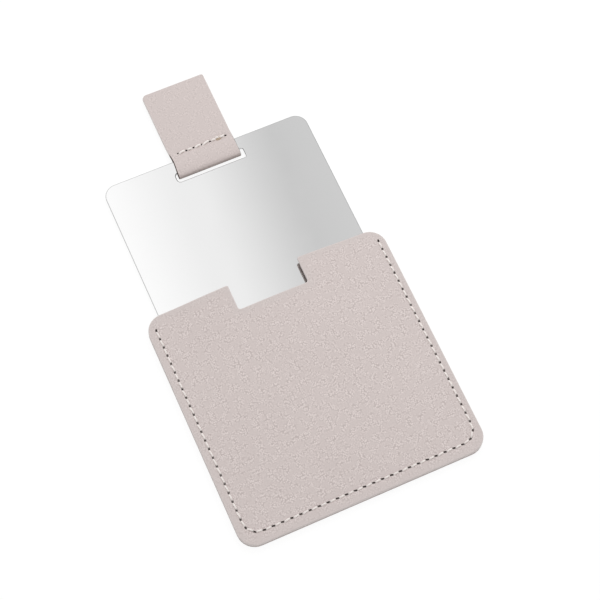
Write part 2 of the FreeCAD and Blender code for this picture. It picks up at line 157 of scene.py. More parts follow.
@dataclass(frozen=True)
class PebbledLeather(Finish):
    """Pigmented cowhide with an embossed pebble grain: matt, with pale crests and darker creases between them."""

    crest: str
    crease: str
    worn_and_shaded: str
    # The grain comes and goes in patches, between these two strengths.
    faint: float = 0.14
    strong: float = 1.2
    patch_mm: float = 2.4
    patch_limits: Pair = (0.39, 0.62)
    pebble_mm: float = 0.62
    pebble_spread: float = 0.85
    pebble_dome: Pair = (0.08, 0.62)
    wander_pebbles: float = 1.6
    wander_share: float = 0.9
    # Real pores are about 0.1 mm apart, too fine to show, so they are drawn coarser.
    pore_mm: float = 0.25
    pore_share: float = 0.35
    cloud_mm: float = 24.0
    cloud_limits: Pair = (0.3, 0.7)
    cloud_tones: Pair = (0.36, 0.42)
    mid_height: float = 0.35
    relief_mm: float = 0.06
    relief_share: float = 0.55
    roughness: float = 0.56
    crease_roughness: float = 0.66
    ior: float = 1.48

    WEAR_AND_SHADE = "leather_wear_and_shade"
    PLAN = "leather_plan"

    def surface(self, add: AddNode) -> bpy.types.Node:
        """Adds the leather's nodes, which read where a point lies on the flat hide and how far it takes the
        second tone there, which on the strap is painted shade.

        Args:
            add: Adds a node to the material's tree.

        Returns:
            The shader.
        """
        place = add("ShaderNodeAttribute", attribute_name=self.PLAN).outputs["Vector"]
        wear_and_shade = add("ShaderNodeAttribute", attribute_name=self.WEAR_AND_SHADE).outputs["Fac"]
        wander, pores, patches, cloud = [
            add("ShaderNodeTexNoise", {"Vector": place, "Scale": per_metre(size), "Detail": detail})
            for size, detail in ((self.pebble_mm * self.wander_pebbles, 1.0), (self.pore_mm, 2.0),
                                 (self.patch_mm, 1.0), (self.cloud_mm, 3.0))]
        drift = add("ShaderNodeVectorMath", (wander.outputs["Color"], (0.5,) * 3), operation="SUBTRACT")
        moved = add("ShaderNodeVectorMath", (drift, (self.pebble_mm * MM * self.wander_share,) * 3, place),
                    operation="MULTIPLY_ADD")
        cells = add("ShaderNodeTexVoronoi", {"Vector": moved, "Scale": per_metre(self.pebble_mm),
                                             "Randomness": self.pebble_spread}, feature="F1",
                    voronoi_dimensions="2D")
        pebble = add("ShaderNodeMapRange", (cells, *self.pebble_dome, 1.0, 0.0))
        grainy = add("ShaderNodeMapRange", (patches, *self.patch_limits, self.faint, self.strong))
        height = add("ShaderNodeMath", (pores, self.pore_share, pebble), operation="MULTIPLY_ADD")
        depth = add("ShaderNodeMath", (grainy, self.relief_share), operation="MULTIPLY")
        bump = add("ShaderNodeBump", {"Height": height, "Strength": depth, "Distance": self.relief_mm * MM})
        swing = add("ShaderNodeMath", (pebble, self.mid_height), operation="SUBTRACT")
        cloudy = add("ShaderNodeMapRange", (cloud, *self.cloud_limits, *self.cloud_tones))
        tone = add("ShaderNodeMath", (swing, grainy, cloudy), operation="MULTIPLY_ADD", use_clamp=True)
        colour = add("ShaderNodeMix", {0: tone, 6: linear(self.crease), 7: linear(self.crest)}, data_type="RGBA")
        # The second tone is a paler grey along the sleeve's rim, and painted shade in the strap's fold, darkest
        # in its crease.
        rubbed_and_shaded = add("ShaderNodeMix", {0: wear_and_shade, 6: colour.outputs[2], 7: linear(self.worn_and_shaded)}, data_type="RGBA")
        rough = add("ShaderNodeMapRange", {0: pebble, 3: self.crease_roughness, 4: self.roughness})
        return add("ShaderNodeBsdfPrincipled", {"Base Color": rubbed_and_shaded.outputs[2], "Roughness": rough,
                                                "Normal": bump, "IOR": self.ior})


@dataclass(frozen=True)
class PaintedEdge(Finish):
    """Acrylic edge paint over cut leather: smooth and slightly wavy from the brush; brown fibre shows at the
    strap's fold, as scuffed-off paint and as painted shade.
    """

    high: str
    low: str
    raw_and_shaded_high: str
    raw_and_shaded_low: str
    wave_mm: float = 1.8
    # The fibres of cut leather are too fine to show, so they are drawn coarser.
    fibre_mm: float = 0.18
    wave_share: float = 0.8
    rubbed_and_shaded_limits: Pair = (0.85, 1.0)
    relief_mm: float = 0.04
    relief_share: float = 0.4
    roughness: float = 0.48
    raw_roughness: float = 0.92

    BARE_AND_SHADE = "edge_bare_and_shade"

    def surface(self, add: AddNode) -> bpy.types.Node:
        """Adds the paint's nodes, which read how much brown fibre shows, as scuffed-off paint and painted shade.

        Args:
            add: Adds a node to the material's tree.

        Returns:
            The shader.
        """
        place = add("ShaderNodeTexCoord").outputs["Object"]
        bare_and_shade = add("ShaderNodeAttribute", attribute_name=self.BARE_AND_SHADE).outputs["Fac"]
        wave, fibre = [
            add("ShaderNodeTexNoise", {"Vector": place, "Scale": per_metre(size), "Detail": detail})
            for size, detail in ((self.wave_mm, 3.0), (self.fibre_mm, 4.0))]
        # At the strap's fold the brown fibre is painted shade of the gap under the fold, as well as scuffed-off
        # paint.
        ragged = add("ShaderNodeMath", (wave, self.wave_share, bare_and_shade), operation="MULTIPLY_ADD")
        rubbed_and_shaded = add("ShaderNodeMapRange", (ragged, *self.rubbed_and_shaded_limits))
        paint, raw_and_shaded = [
            add("ShaderNodeMix", {0: share, 6: linear(low), 7: linear(high)}, data_type="RGBA").outputs[2]
            for share, low, high in ((wave, self.low, self.high), (fibre, self.raw_and_shaded_low, self.raw_and_shaded_high))]
        colour = add("ShaderNodeMix", {0: rubbed_and_shaded, 6: paint, 7: raw_and_shaded}, data_type="RGBA")
        rough = add("ShaderNodeMapRange", {0: rubbed_and_shaded, 3: self.roughness, 4: self.raw_roughness})
        relief = add("ShaderNodeMix", {0: rubbed_and_shaded, 2: wave, 3: fibre}, data_type="FLOAT")
        bump = add("ShaderNodeBump", {"Height": relief, "Strength": self.relief_share,
                                      "Distance": self.relief_mm * MM})
        return add("ShaderNodeBsdfPrincipled", {"Base Color": colour.outputs[2], "Roughness": rough,
                                                "Normal": bump})


@dataclass(frozen=True)
class FibreSurface(Finish):
    """A napped, fibrous or fused surface: finely mottled and matt, with a faint sheen at grazing light."""

    high: str
    low: str
    # Single fibres are too fine to show, so they are drawn coarser.
    fibre_mm: float
    relief_mm: float
    sheen: float
    roughness: float = 0.92
    mottle_limits: Pair = (0.3, 0.7)
    fineness: float = 0.65
    relief_share: float = 0.6

    def surface(self, add: AddNode) -> bpy.types.Node:
        """Adds the fibres' nodes.

        Args:
            add: Adds a node to the material's tree.

        Returns:
            The shader.
        """
        place = add("ShaderNodeTexCoord").outputs["Object"]
        fibre = add("ShaderNodeTexNoise", {"Vector": place, "Scale": per_metre(self.fibre_mm), "Detail": 4.0,
                                           "Roughness": self.fineness})
        mottle = add("ShaderNodeMapRange", (fibre, *self.mottle_limits))
        colour = add("ShaderNodeMix", {0: mottle, 6: linear(self.low), 7: linear(self.high)}, data_type="RGBA")
        bump = add("ShaderNodeBump", {"Height": fibre, "Strength": self.relief_share,
                                      "Distance": self.relief_mm * MM})
        return add("ShaderNodeBsdfPrincipled", {"Base Color": colour.outputs[2], "Roughness": self.roughness,
                                                "Normal": bump, "Sheen Weight": self.sheen})


@dataclass(frozen=True)
class TwistedThread(Finish):
    """Bonded polyester sewing thread: plies wound round each other, pale crested and darker between."""

    crest: str
    groove: str
    plies: float = 3.0
    # How far apart the plies show along the thread, and how long the stitch is that they wind along.
    ply_mm: float = 0.45
    stitch_mm: float = 2.25
    ply_limits: Pair = (-1.0, 0.6)
    relief_mm: float = 0.06
    relief_share: float = 0.6
    roughness: float = 0.5
    sheen: float = 0.2

    def surface(self, add: AddNode) -> bpy.types.Node:
        """Adds the thread's nodes, which read where a point lies along and round its stitch.

        Args:
            add: Adds a node to the material's tree.

        Returns:
            The shader.
        """
        along, around = [add("ShaderNodeAttribute", attribute_name=label).outputs["Fac"]
                         for label in (Stitches.ALONG, Stitches.AROUND)]
        wound = add("ShaderNodeMath", (along, self.stitch_mm / self.ply_mm), operation="MULTIPLY")
        phase = add("ShaderNodeMath", (around, self.plies, wound), operation="MULTIPLY_ADD")
        angle = add("ShaderNodeMath", (phase, math.tau), operation="MULTIPLY")
        wave = add("ShaderNodeMath", (angle,), operation="SINE")
        ply = add("ShaderNodeMapRange", (wave, *self.ply_limits), interpolation_type="SMOOTHSTEP")
        colour = add("ShaderNodeMix", {0: ply, 6: linear(self.groove), 7: linear(self.crest)}, data_type="RGBA")
        bump = add("ShaderNodeBump", {"Height": ply, "Strength": self.relief_share,
                                      "Distance": self.relief_mm * MM})
        return add("ShaderNodeBsdfPrincipled", {"Base Color": colour.outputs[2], "Roughness": self.roughness,
                                                "Normal": bump, "Sheen Weight": self.sheen})


@dataclass(frozen=True)
class PolishedSteel(Finish):
    """Polished stainless steel sheet: clean reflections, very slightly uneven from the buffing wheel."""

    colour: str
    buff_mm: float = 9.0
    smooth: float = 0.03
    hazy: float = 0.07
    buff_limits: Pair = (0.35, 0.75)

    def surface(self, add: AddNode) -> bpy.types.Node:
        """Adds the steel's nodes.

        Args:
            add: Adds a node to the material's tree.

        Returns:
            The shader.
        """
        place = add("ShaderNodeTexCoord").outputs["Object"]
        buffing = add("ShaderNodeTexNoise", {"Vector": place, "Scale": per_metre(self.buff_mm), "Detail": 4.0})
        rough = add("ShaderNodeMapRange", (buffing, *self.buff_limits, self.smooth, self.hazy))
        return add("ShaderNodeBsdfPrincipled", {"Base Color": linear(self.colour), "Metallic": 1.0,
                                                "Roughness": rough})


@dataclass(frozen=True)
class WhitePaper(Finish):
    """Matt white background paper: white to the eye and in steel, with a faint shadow where the object lies."""

    reflectance: float = 0.85
    shadow_share: float = 0.15
    white: float = 1.03

    def surface(self, add: AddNode) -> bpy.types.Node:
        """Adds the paper's nodes, which show it whiter to the camera than the light makes it.

        Args:
            add: Adds a node to the material's tree.

        Returns:
            The shader.
        """
        rays = add("ShaderNodeLightPath").outputs
        paper, shaded = [add("ShaderNodeBsdfDiffuse", {"Color": (grey, grey, grey, 1.0)})
                         for grey in (self.reflectance, self.shadow_share)]
        glow = add("ShaderNodeEmission", {"Strength": self.white - self.shadow_share})
        pale = add("ShaderNodeAddShader", (shaded, glow))
        direct = rays["Is Camera Ray"]
        for other in ("Is Glossy Ray", "Is Transmission Ray"):
            direct = add("ShaderNodeMath", (direct, rays[other]), operation="MAXIMUM")
        return add("ShaderNodeMixShader", (direct, paper, pale))


def unit(vectors: Points) -> Points:
    """Returns the vectors, one or a row of them, at a length of 1."""
    return vectors / np.linalg.norm(vectors, axis=-1, keepdims=True)


def left_of(vectors: Points) -> Points:
    """Returns flat vectors turned a quarter turn to the left."""
    return np.stack((-vectors[..., 1], vectors[..., 0]), axis=-1)


@dataclass(frozen=True)
class Corner:
    """A corner of an outline and the radius that rounds it."""

    x: float
    y: float
    radius: float

    @property
    def place(self) -> Points:
        """The corner as a flat point."""
        return np.array((self.x, self.y))


def both_sides(right: list[Corner]) -> list[Corner]:
    """Adds the left half to the corners of a symmetric outline.

    Args:
        right: The corners of the right half, from the bottom on.

    Returns:
        All the corners, from the bottom left one on.
    """
    left = [Corner(-corner.x, corner.y, corner.radius) for corner in reversed(right)]
    return left[-1:] + right + left[:-1]


def box_corners(across: Pair, along: Pair, radii: Pair) -> list[Corner]:
    """Lists the corners of a box.

    Args:
        across: Its left and right sides.
        along: Its lower and upper sides.
        radii: The radii of its left and of its right corners.

    Returns:
        The corners, from the bottom left one on.
    """
    (left, right), (low, high), (left_radius, right_radius) = across, along, radii
    return [Corner(left, low, left_radius), Corner(right, low, right_radius),
            Corner(right, high, right_radius), Corner(left, high, left_radius)]


def rounded_outline(corners: list[Corner], spacing: float, arc_steps: int = 8) -> Points:
    """Draws a closed outline with rounded corners.

    Args:
        corners: The corners in order, with the material on the left.
        spacing: The greatest distance between two points on a straight run.
        arc_steps: The number of steps in each rounded corner.

    Returns:
        The points of the outline, one row each.
    """
    arcs = []
    for index, corner in enumerate(corners):
        behind = unit(corners[index - 1].place - corner.place)
        ahead = unit(corners[(index + 1) % len(corners)].place - corner.place)
        half = math.acos(float(behind @ ahead)) / 2
        centre = corner.place + unit(behind + ahead) * corner.radius / math.sin(half)
        first = corner.place + behind * corner.radius / math.tan(half) - centre
        turn = math.copysign(math.pi - 2 * half, float(left_of(ahead) @ behind))
        angles = np.linspace(0.0, turn, arc_steps + 1)[:, None]
        arcs.append(centre + first * np.cos(angles) + left_of(first) * np.sin(angles))
    points = []
    for index, arc in enumerate(arcs):
        points.extend(arc)
        run = arcs[(index + 1) % len(arcs)][0] - arc[-1]
        pieces = max(1, math.ceil(float(np.linalg.norm(run)) / spacing))
        points.extend(arc[-1] + run * step / pieces for step in range(1, pieces))
    return np.array(points)


def inset(loop: Points, depth: float) -> Points:
    """Moves a closed loop into the material on its left.

    Args:
        loop: The points of the loop.
        depth: How far they move.

    Returns:
        The moved points.
    """
    ahead = unit(np.roll(loop, -1, axis=0) - loop)
    behind = unit(loop - np.roll(loop, 1, axis=0))
    return loop + unit(left_of(ahead + behind)) * depth


def inside(points: Points, loop: Points) -> np.ndarray:
    """Tells which points lie inside a closed loop.

    Args:
        points: The flat points to test.
        loop: The points of the loop.

    Returns:
        One truth value for each point.
    """
    x, y = points[:, 0:1], points[:, 1:2]
    start, end = loop, np.roll(loop, -1, axis=0)
    spans = (start[:, 1] > y) != (end[:, 1] > y)
    rise = np.where(end[:, 1] == start[:, 1], 1.0, end[:, 1] - start[:, 1])
    crossing = start[:, 0] + (y - start[:, 1]) * (end[:, 0] - start[:, 0]) / rise
    return (np.sum(spans & (x < crossing), axis=1) % 2).astype(bool)


def flat_tree(points: Points) -> kdtree.KDTree:
    """Sorts flat points so that the nearest of them is quickly found.

    Args:
        points: The points.

    Returns:
        The search tree of their places in the row.
    """
    tree = kdtree.KDTree(len(points))
    for index, (x, y) in enumerate(points):
        tree.insert((x, y, 0.0), index)
    tree.balance()
    return tree


def nearest_gaps(points: Points, others: Points) -> np.ndarray:
    """Measures how far each point lies from the nearest of some others.

    Args:
        points: The flat points to measure from.
        others: The flat points to measure to.

    Returns:
        One distance for each point.
    """
    tree = flat_tree(others)
    return np.array([tree.find((x, y, 0.0))[2] for x, y in points])


def grid_inside(loop: Points, taken: Points, spacing: float, clear_share: float = 0.6) -> Points:
    """Spreads a grid of points inside an outline, clear of the points that are there already.

    Args:
        loop: The outline.
        taken: The points on and inside the outline that the grid keeps clear of.
        spacing: The grid's spacing.
        clear_share: The share of the spacing that it keeps clear.

    Returns:
        The points of the grid.
    """
    low, high = loop.min(axis=0), loop.max(axis=0)
    columns, rows = [np.arange(low[axis], high[axis], spacing) for axis in (0, 1)]
    grid = np.stack(np.meshgrid(columns, rows), axis=-1).reshape(-1, 2)
    grid = grid[inside(grid, loop)]
    return grid[nearest_gaps(grid, taken) > spacing * clear_share]


def triangulate(points: Points, loop_sizes: list[int], merge_mm: float = 1e-5) -> list[tuple[int, ...]]:
    """Fills an outline with holes with triangles.

    Args:
        points: The outline's points, then those of each hole, then the points within.
        loop_sizes: How many points the outline and each hole have.
        merge_mm: The distance below which two points are taken for one.

    Returns:
        The triangles as places in points, anticlockwise.
    """
    edges, start = [], 0
    for size in loop_sizes:
        edges += [(start + step, start + (step + 1) % size) for step in range(size)]
        start += size
    flat = [Vector((x / MM, y / MM)) for x, y in points]
    convex_hull = 0
    _, _, faces, origins, _, _ = geometry.delaunay_2d_cdt(flat, edges, [], convex_hull, merge_mm, True)
    corners = np.array([[origins[vertex][0] for vertex in face] for face in faces])
    outline = points[:loop_sizes[0]]
    kept = corners[inside(points[corners].mean(axis=1), outline)]
    loop_of = np.concatenate([np.full(size, index) for index, size in enumerate(loop_sizes)]
                             + [np.full(len(points) - start, -1)])[kept]
    in_hole = (loop_of[:, 0] > 0) & (loop_of[:, 0] == loop_of[:, 1]) & (loop_of[:, 0] == loop_of[:, 2])
    triangles = []
    for first, second, third in kept[~in_hole].tolist():
        ahead, across = points[second] - points[first], points[third] - points[first]
        clockwise = ahead[0] * across[1] < ahead[1] * across[0]
        triangles.append((first, third, second) if clockwise else (first, second, third))
    return triangles


@dataclass
class CutSheet:
    """A layer cut from sheet stock, with rounded edges round its outline and its holes."""

    outline: Points
    holes: list[Points] = field(default_factory=list)
    inner: Points = field(default_factory=lambda: np.zeros((0, 2)))
    round_high: float = 0.25 * MM
    round_low: float = 0.10 * MM
    hole_round: float = 0.08 * MM
    arc_steps: int = 4
    hold: tuple[float, ...] = ()
    edge_zone: int = Zone.FACE
    hole_zone: int = Zone.FACE
    back_zone: int = Zone.FACE
    wear_and_shade: Optional[Height] = None
    bare_and_shade: Optional[Height] = None

    def edge_section(self, high: float, low: float) -> list[tuple[float, float, bool]]:
        """Draws the section of an edge from the upper face to the lower one.

        Args:
            high: The rounding at the upper face.
            low: The rounding at the lower face.

        Returns:
            For each ring of points, how far it is set in, how far it is above its face, and whether that is the
            upper face.
        """
        quarter = [math.pi / 2 * step / self.arc_steps for step in range(self.arc_steps + 1)]
        upper = [(high * (1 - math.sin(turn)), -high * (1 - math.cos(turn)), True) for turn in quarter]
        lower = [(low * (1 - math.sin(turn)), low * (1 - math.cos(turn)), False) for turn in reversed(quarter)]
        return upper + lower

    def mesh(self, name: str, low: Height, high: Height,
             shape: Optional[Callable[[Points], Points]] = None) -> bpy.types.Mesh:
        """Builds the layer as a closed mesh.

        Args:
            name: The mesh's name.
            low: Gives the height of the lower face at flat points.
            high: Gives the height of the upper face at flat points.
            shape: Moves the flat layer's points to where they end up, for a layer that is folded.

        Returns:
            The mesh, with its zones as material indices.
        """
        loops = [self.outline, *self.holes]
        rim = self.edge_section(self.hole_round, self.hole_round)
        sections = [self.edge_section(self.round_high, self.round_low)] + [rim] * len(self.holes)
        rings = [[inset(loop, depth) for depth, _, _ in section] for loop, section in zip(loops, sections)]
        held = [inset(loop, max(section[0][0], section[-1][0]) + depth)
                for loop, section in zip(loops, sections) for depth in self.hold]
        upper, lower = [np.vstack([ring[end] for ring in rings] + held + [self.inner]) for end in (0, -1)]
        count = len(upper)
        triangles = triangulate(upper, [len(loop) for loop in loops])
        blocks = [np.column_stack((upper, high(upper))), np.column_stack((lower, low(lower)))]
        faces = triangles + [tuple(count + vertex for vertex in reversed(face)) for face in triangles]
        zones = [int(zone) for zone in (Zone.FACE, self.back_zone) for _ in triangles]
        start, total = 0, 2 * count
        for loop, ring, section in zip(loops, rings, sections):
            size = len(loop)
            rows = [start + np.arange(size)]
            for flat, (_, lift, is_upper) in zip(ring[1:-1], section[1:-1]):
                heights = high(flat) if is_upper else low(flat)
                blocks.append(np.column_stack((flat, heights + lift)))
                rows.append(total + np.arange(size))
                total += size
            rows.append(count + start + np.arange(size))
            for above, below in zip(rows, rows[1:]):
                faces += np.stack((above, below, np.roll(below, -1), np.roll(above, -1)), axis=1).tolist()
                zones += [int(self.edge_zone if loop is self.outline else self.hole_zone)] * size
            start += size
        vertices = np.vstack(blocks)
        mesh = bpy.data.meshes.new(name)
        mesh.from_pydata((shape(vertices) if shape else vertices).tolist(), [], faces)
        mesh.polygons.foreach_set("material_index", zones)
        mesh.polygons.foreach_set("use_smooth", [True] * len(faces))
        self.mark(mesh, vertices)
        mesh.update()
        return mesh

    def mark(self, mesh: bpy.types.Mesh, vertices: Points) -> None:
        """Writes what the finishes read at each point: its share of the leather's second tone and of brown fibre
        on its edge, which on the strap's fold are painted shade, and its place on the flat hide.

        Args:
            mesh: The layer's mesh.
            vertices: Its points before it was folded.
        """
        for label, rule in ((PebbledLeather.WEAR_AND_SHADE, self.wear_and_shade), (PaintedEdge.BARE_AND_SHADE, self.bare_and_shade)):
            if rule:
                shares = mesh.attributes.new(label, "FLOAT", "POINT")
                shares.data.foreach_set("value", rule(vertices[:, :2]))
        if self.wear_and_shade:
            plan = mesh.attributes.new(PebbledLeather.PLAN, "FLOAT_VECTOR", "POINT")
            plan.data.foreach_set("vector", (vertices * (1.0, 1.0, 0.0)).ravel())


def swap_faces(mesh: bpy.types.Mesh) -> None:
    """Gives the grain to a sheet's lower face and the backing to its upper one.

    Args:
        mesh: The sheet's mesh.
    """
    zones = np.zeros(len(mesh.polygons), dtype=np.int32)
    mesh.polygons.foreach_get("material_index", zones)
    count = int(np.sum(zones == Zone.FACE))
    zones[:count] = Zone.BACKING
    zones[count:2 * count] = Zone.FACE
    mesh.polygons.foreach_set("material_index", zones)


def level(height: float) -> Height:
    """Returns the height function of a flat face."""
    return lambda flat: np.full(len(flat), height)


def new_object(name: str, mesh: bpy.types.Mesh, materials: list[bpy.types.Material]) -> bpy.types.Object:
    """Puts a mesh into the scene.

    Args:
        name: The object's name.
        mesh: Its mesh, in place.
        materials: Its materials, in the order of the mesh's zones.

    Returns:
        The new object.
    """
    for material in materials:
        mesh.materials.append(material)
    item = bpy.data.objects.new(name, mesh)
    bpy.context.scene.collection.objects.link(item)
    return item


def stand_for(item: bpy.types.Object, slot: str, *nodes: str) -> None:
    """Hides the CAD nodes that a piece stands for, and logs the piece with them.

    Args:
        item: The piece.
        slot: Not used.
        nodes: The CAD nodes.
    """
    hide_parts(*nodes)
    LOG.info("%s: %d faces, stands for %s", item.name, len(item.data.polygons), ", ".join(nodes))


@dataclass
class SewingLine:
    """A line of needle holes, drawn as runs that go straight or turn."""

    start: Pair
    heading: float
    runs: list[Pair]
    stitches: int
    hole_length: float = 1.12 * MM
    hole_width: float = 0.56 * MM
    hole_slant: float = math.radians(-10.0)
    cross_stretch: float = 0.0
    hole_clearance: float = 0.30 * MM
    groove_depth: float = 0.07 * MM
    pucker_depth: float = 0.12 * MM
    groove_width: float = 0.75 * MM
    groove_reach: float = 3.0
    sample_steps: int = 24

    def __post_init__(self) -> None:
        """Samples the line, so that the nearest place on it is quickly found."""
        self.samples = flat_tree(np.array([self.at(self.pitch * step / self.sample_steps)[0]
                                           for step in range(self.stitches * self.sample_steps + 1)]))

    @property
    def length(self) -> float:
        """The whole line's length."""
        return sum(length for length, _ in self.runs)

    @property
    def pitch(self) -> float:
        """The length of one stitch."""
        return self.length / self.stitches

    def at(self, distance: float) -> tuple[Points, Points]:
        """Finds a place on the line.

        Args:
            distance: How far the place is from the start, along the line.

        Returns:
            The flat point and the direction of the line there.
        """
        point, heading, left = np.array(self.start), self.heading, distance
        for length, bend in self.runs:
            step = min(left, length)
            turned = heading + step * bend
            if bend:
                point = point + np.array((math.sin(turned) - math.sin(heading),
                                          math.cos(heading) - math.cos(turned))) / bend
            else:
                point = point + step * np.array((math.cos(heading), math.sin(heading)))
            heading = turned
            left -= step
            if left <= 0:
                break
        return point, np.array((math.cos(heading), math.sin(heading)))

    def holes(self) -> list[tuple[Points, Points]]:
        """Returns the place and direction of each needle hole."""
        return [self.at(self.pitch * index) for index in range(self.stitches + 1)]

    def hole_loops(self, steps: int = 12) -> list[Points]:
        """Draws the needle holes as slanted ovals, longer where the row runs across the sleeve.

        Args:
            steps: The number of points round each hole.

        Returns:
            The loops, with the material on their left.
        """
        turns = -np.arange(steps)[:, None] * math.tau / steps
        loops = []
        for place, along in self.holes():
            slant = along * math.cos(self.hole_slant) + left_of(along) * math.sin(self.hole_slant)
            stretch = 1.0 + self.cross_stretch * abs(along[0])
            loops.append(place + slant * np.cos(turns) * self.hole_length * stretch / 2
                         + left_of(slant) * np.sin(turns) * self.hole_width / math.sqrt(stretch) / 2)
        return loops

    def band(self, half_width: float, rows: int = 4, steps: int = 8) -> Points:
        """Spreads points along both sides of the line, where the leather is drawn in.

        Args:
            half_width: How far the points reach to each side.
            rows: The number of rows to each side.
            steps: The number of points along each stitch.

        Returns:
            The points that lie clear of the needle holes.
        """
        offsets = [half_width * (row / rows) for row in range(-rows, rows + 1)]
        points = []
        for step in range(self.stitches * steps + 1):
            place, along = self.at(self.pitch * step / steps)
            points += [place + left_of(along) * offset for offset in offsets]
        points = np.array(points)
        centres = np.array([place for place, _ in self.holes()])
        clear = nearest_gaps(points, np.vstack(self.hole_loops())) > self.hole_clearance
        clear &= nearest_gaps(points, centres) > self.hole_length / 2 * (1.0 + self.cross_stretch)
        return points[clear]

    def dip(self, flat: Points) -> np.ndarray:
        """Works out how far the tight thread draws the leather in.

        Args:
            flat: The flat points.

        Returns:
            The depth at each point, deepest at the needle holes.
        """
        depths = np.zeros(len(flat))
        for index, (x, y) in enumerate(flat):
            _, step, gap = self.samples.find((x, y, 0.0))
            if gap < self.groove_reach * self.groove_width:
                near_hole = 0.5 + 0.5 * math.cos(math.tau * step / self.sample_steps)
                depth = self.groove_depth + self.pucker_depth * near_hole ** 2
                depths[index] = depth * math.exp(-(gap / self.groove_width) ** 2)
        return depths


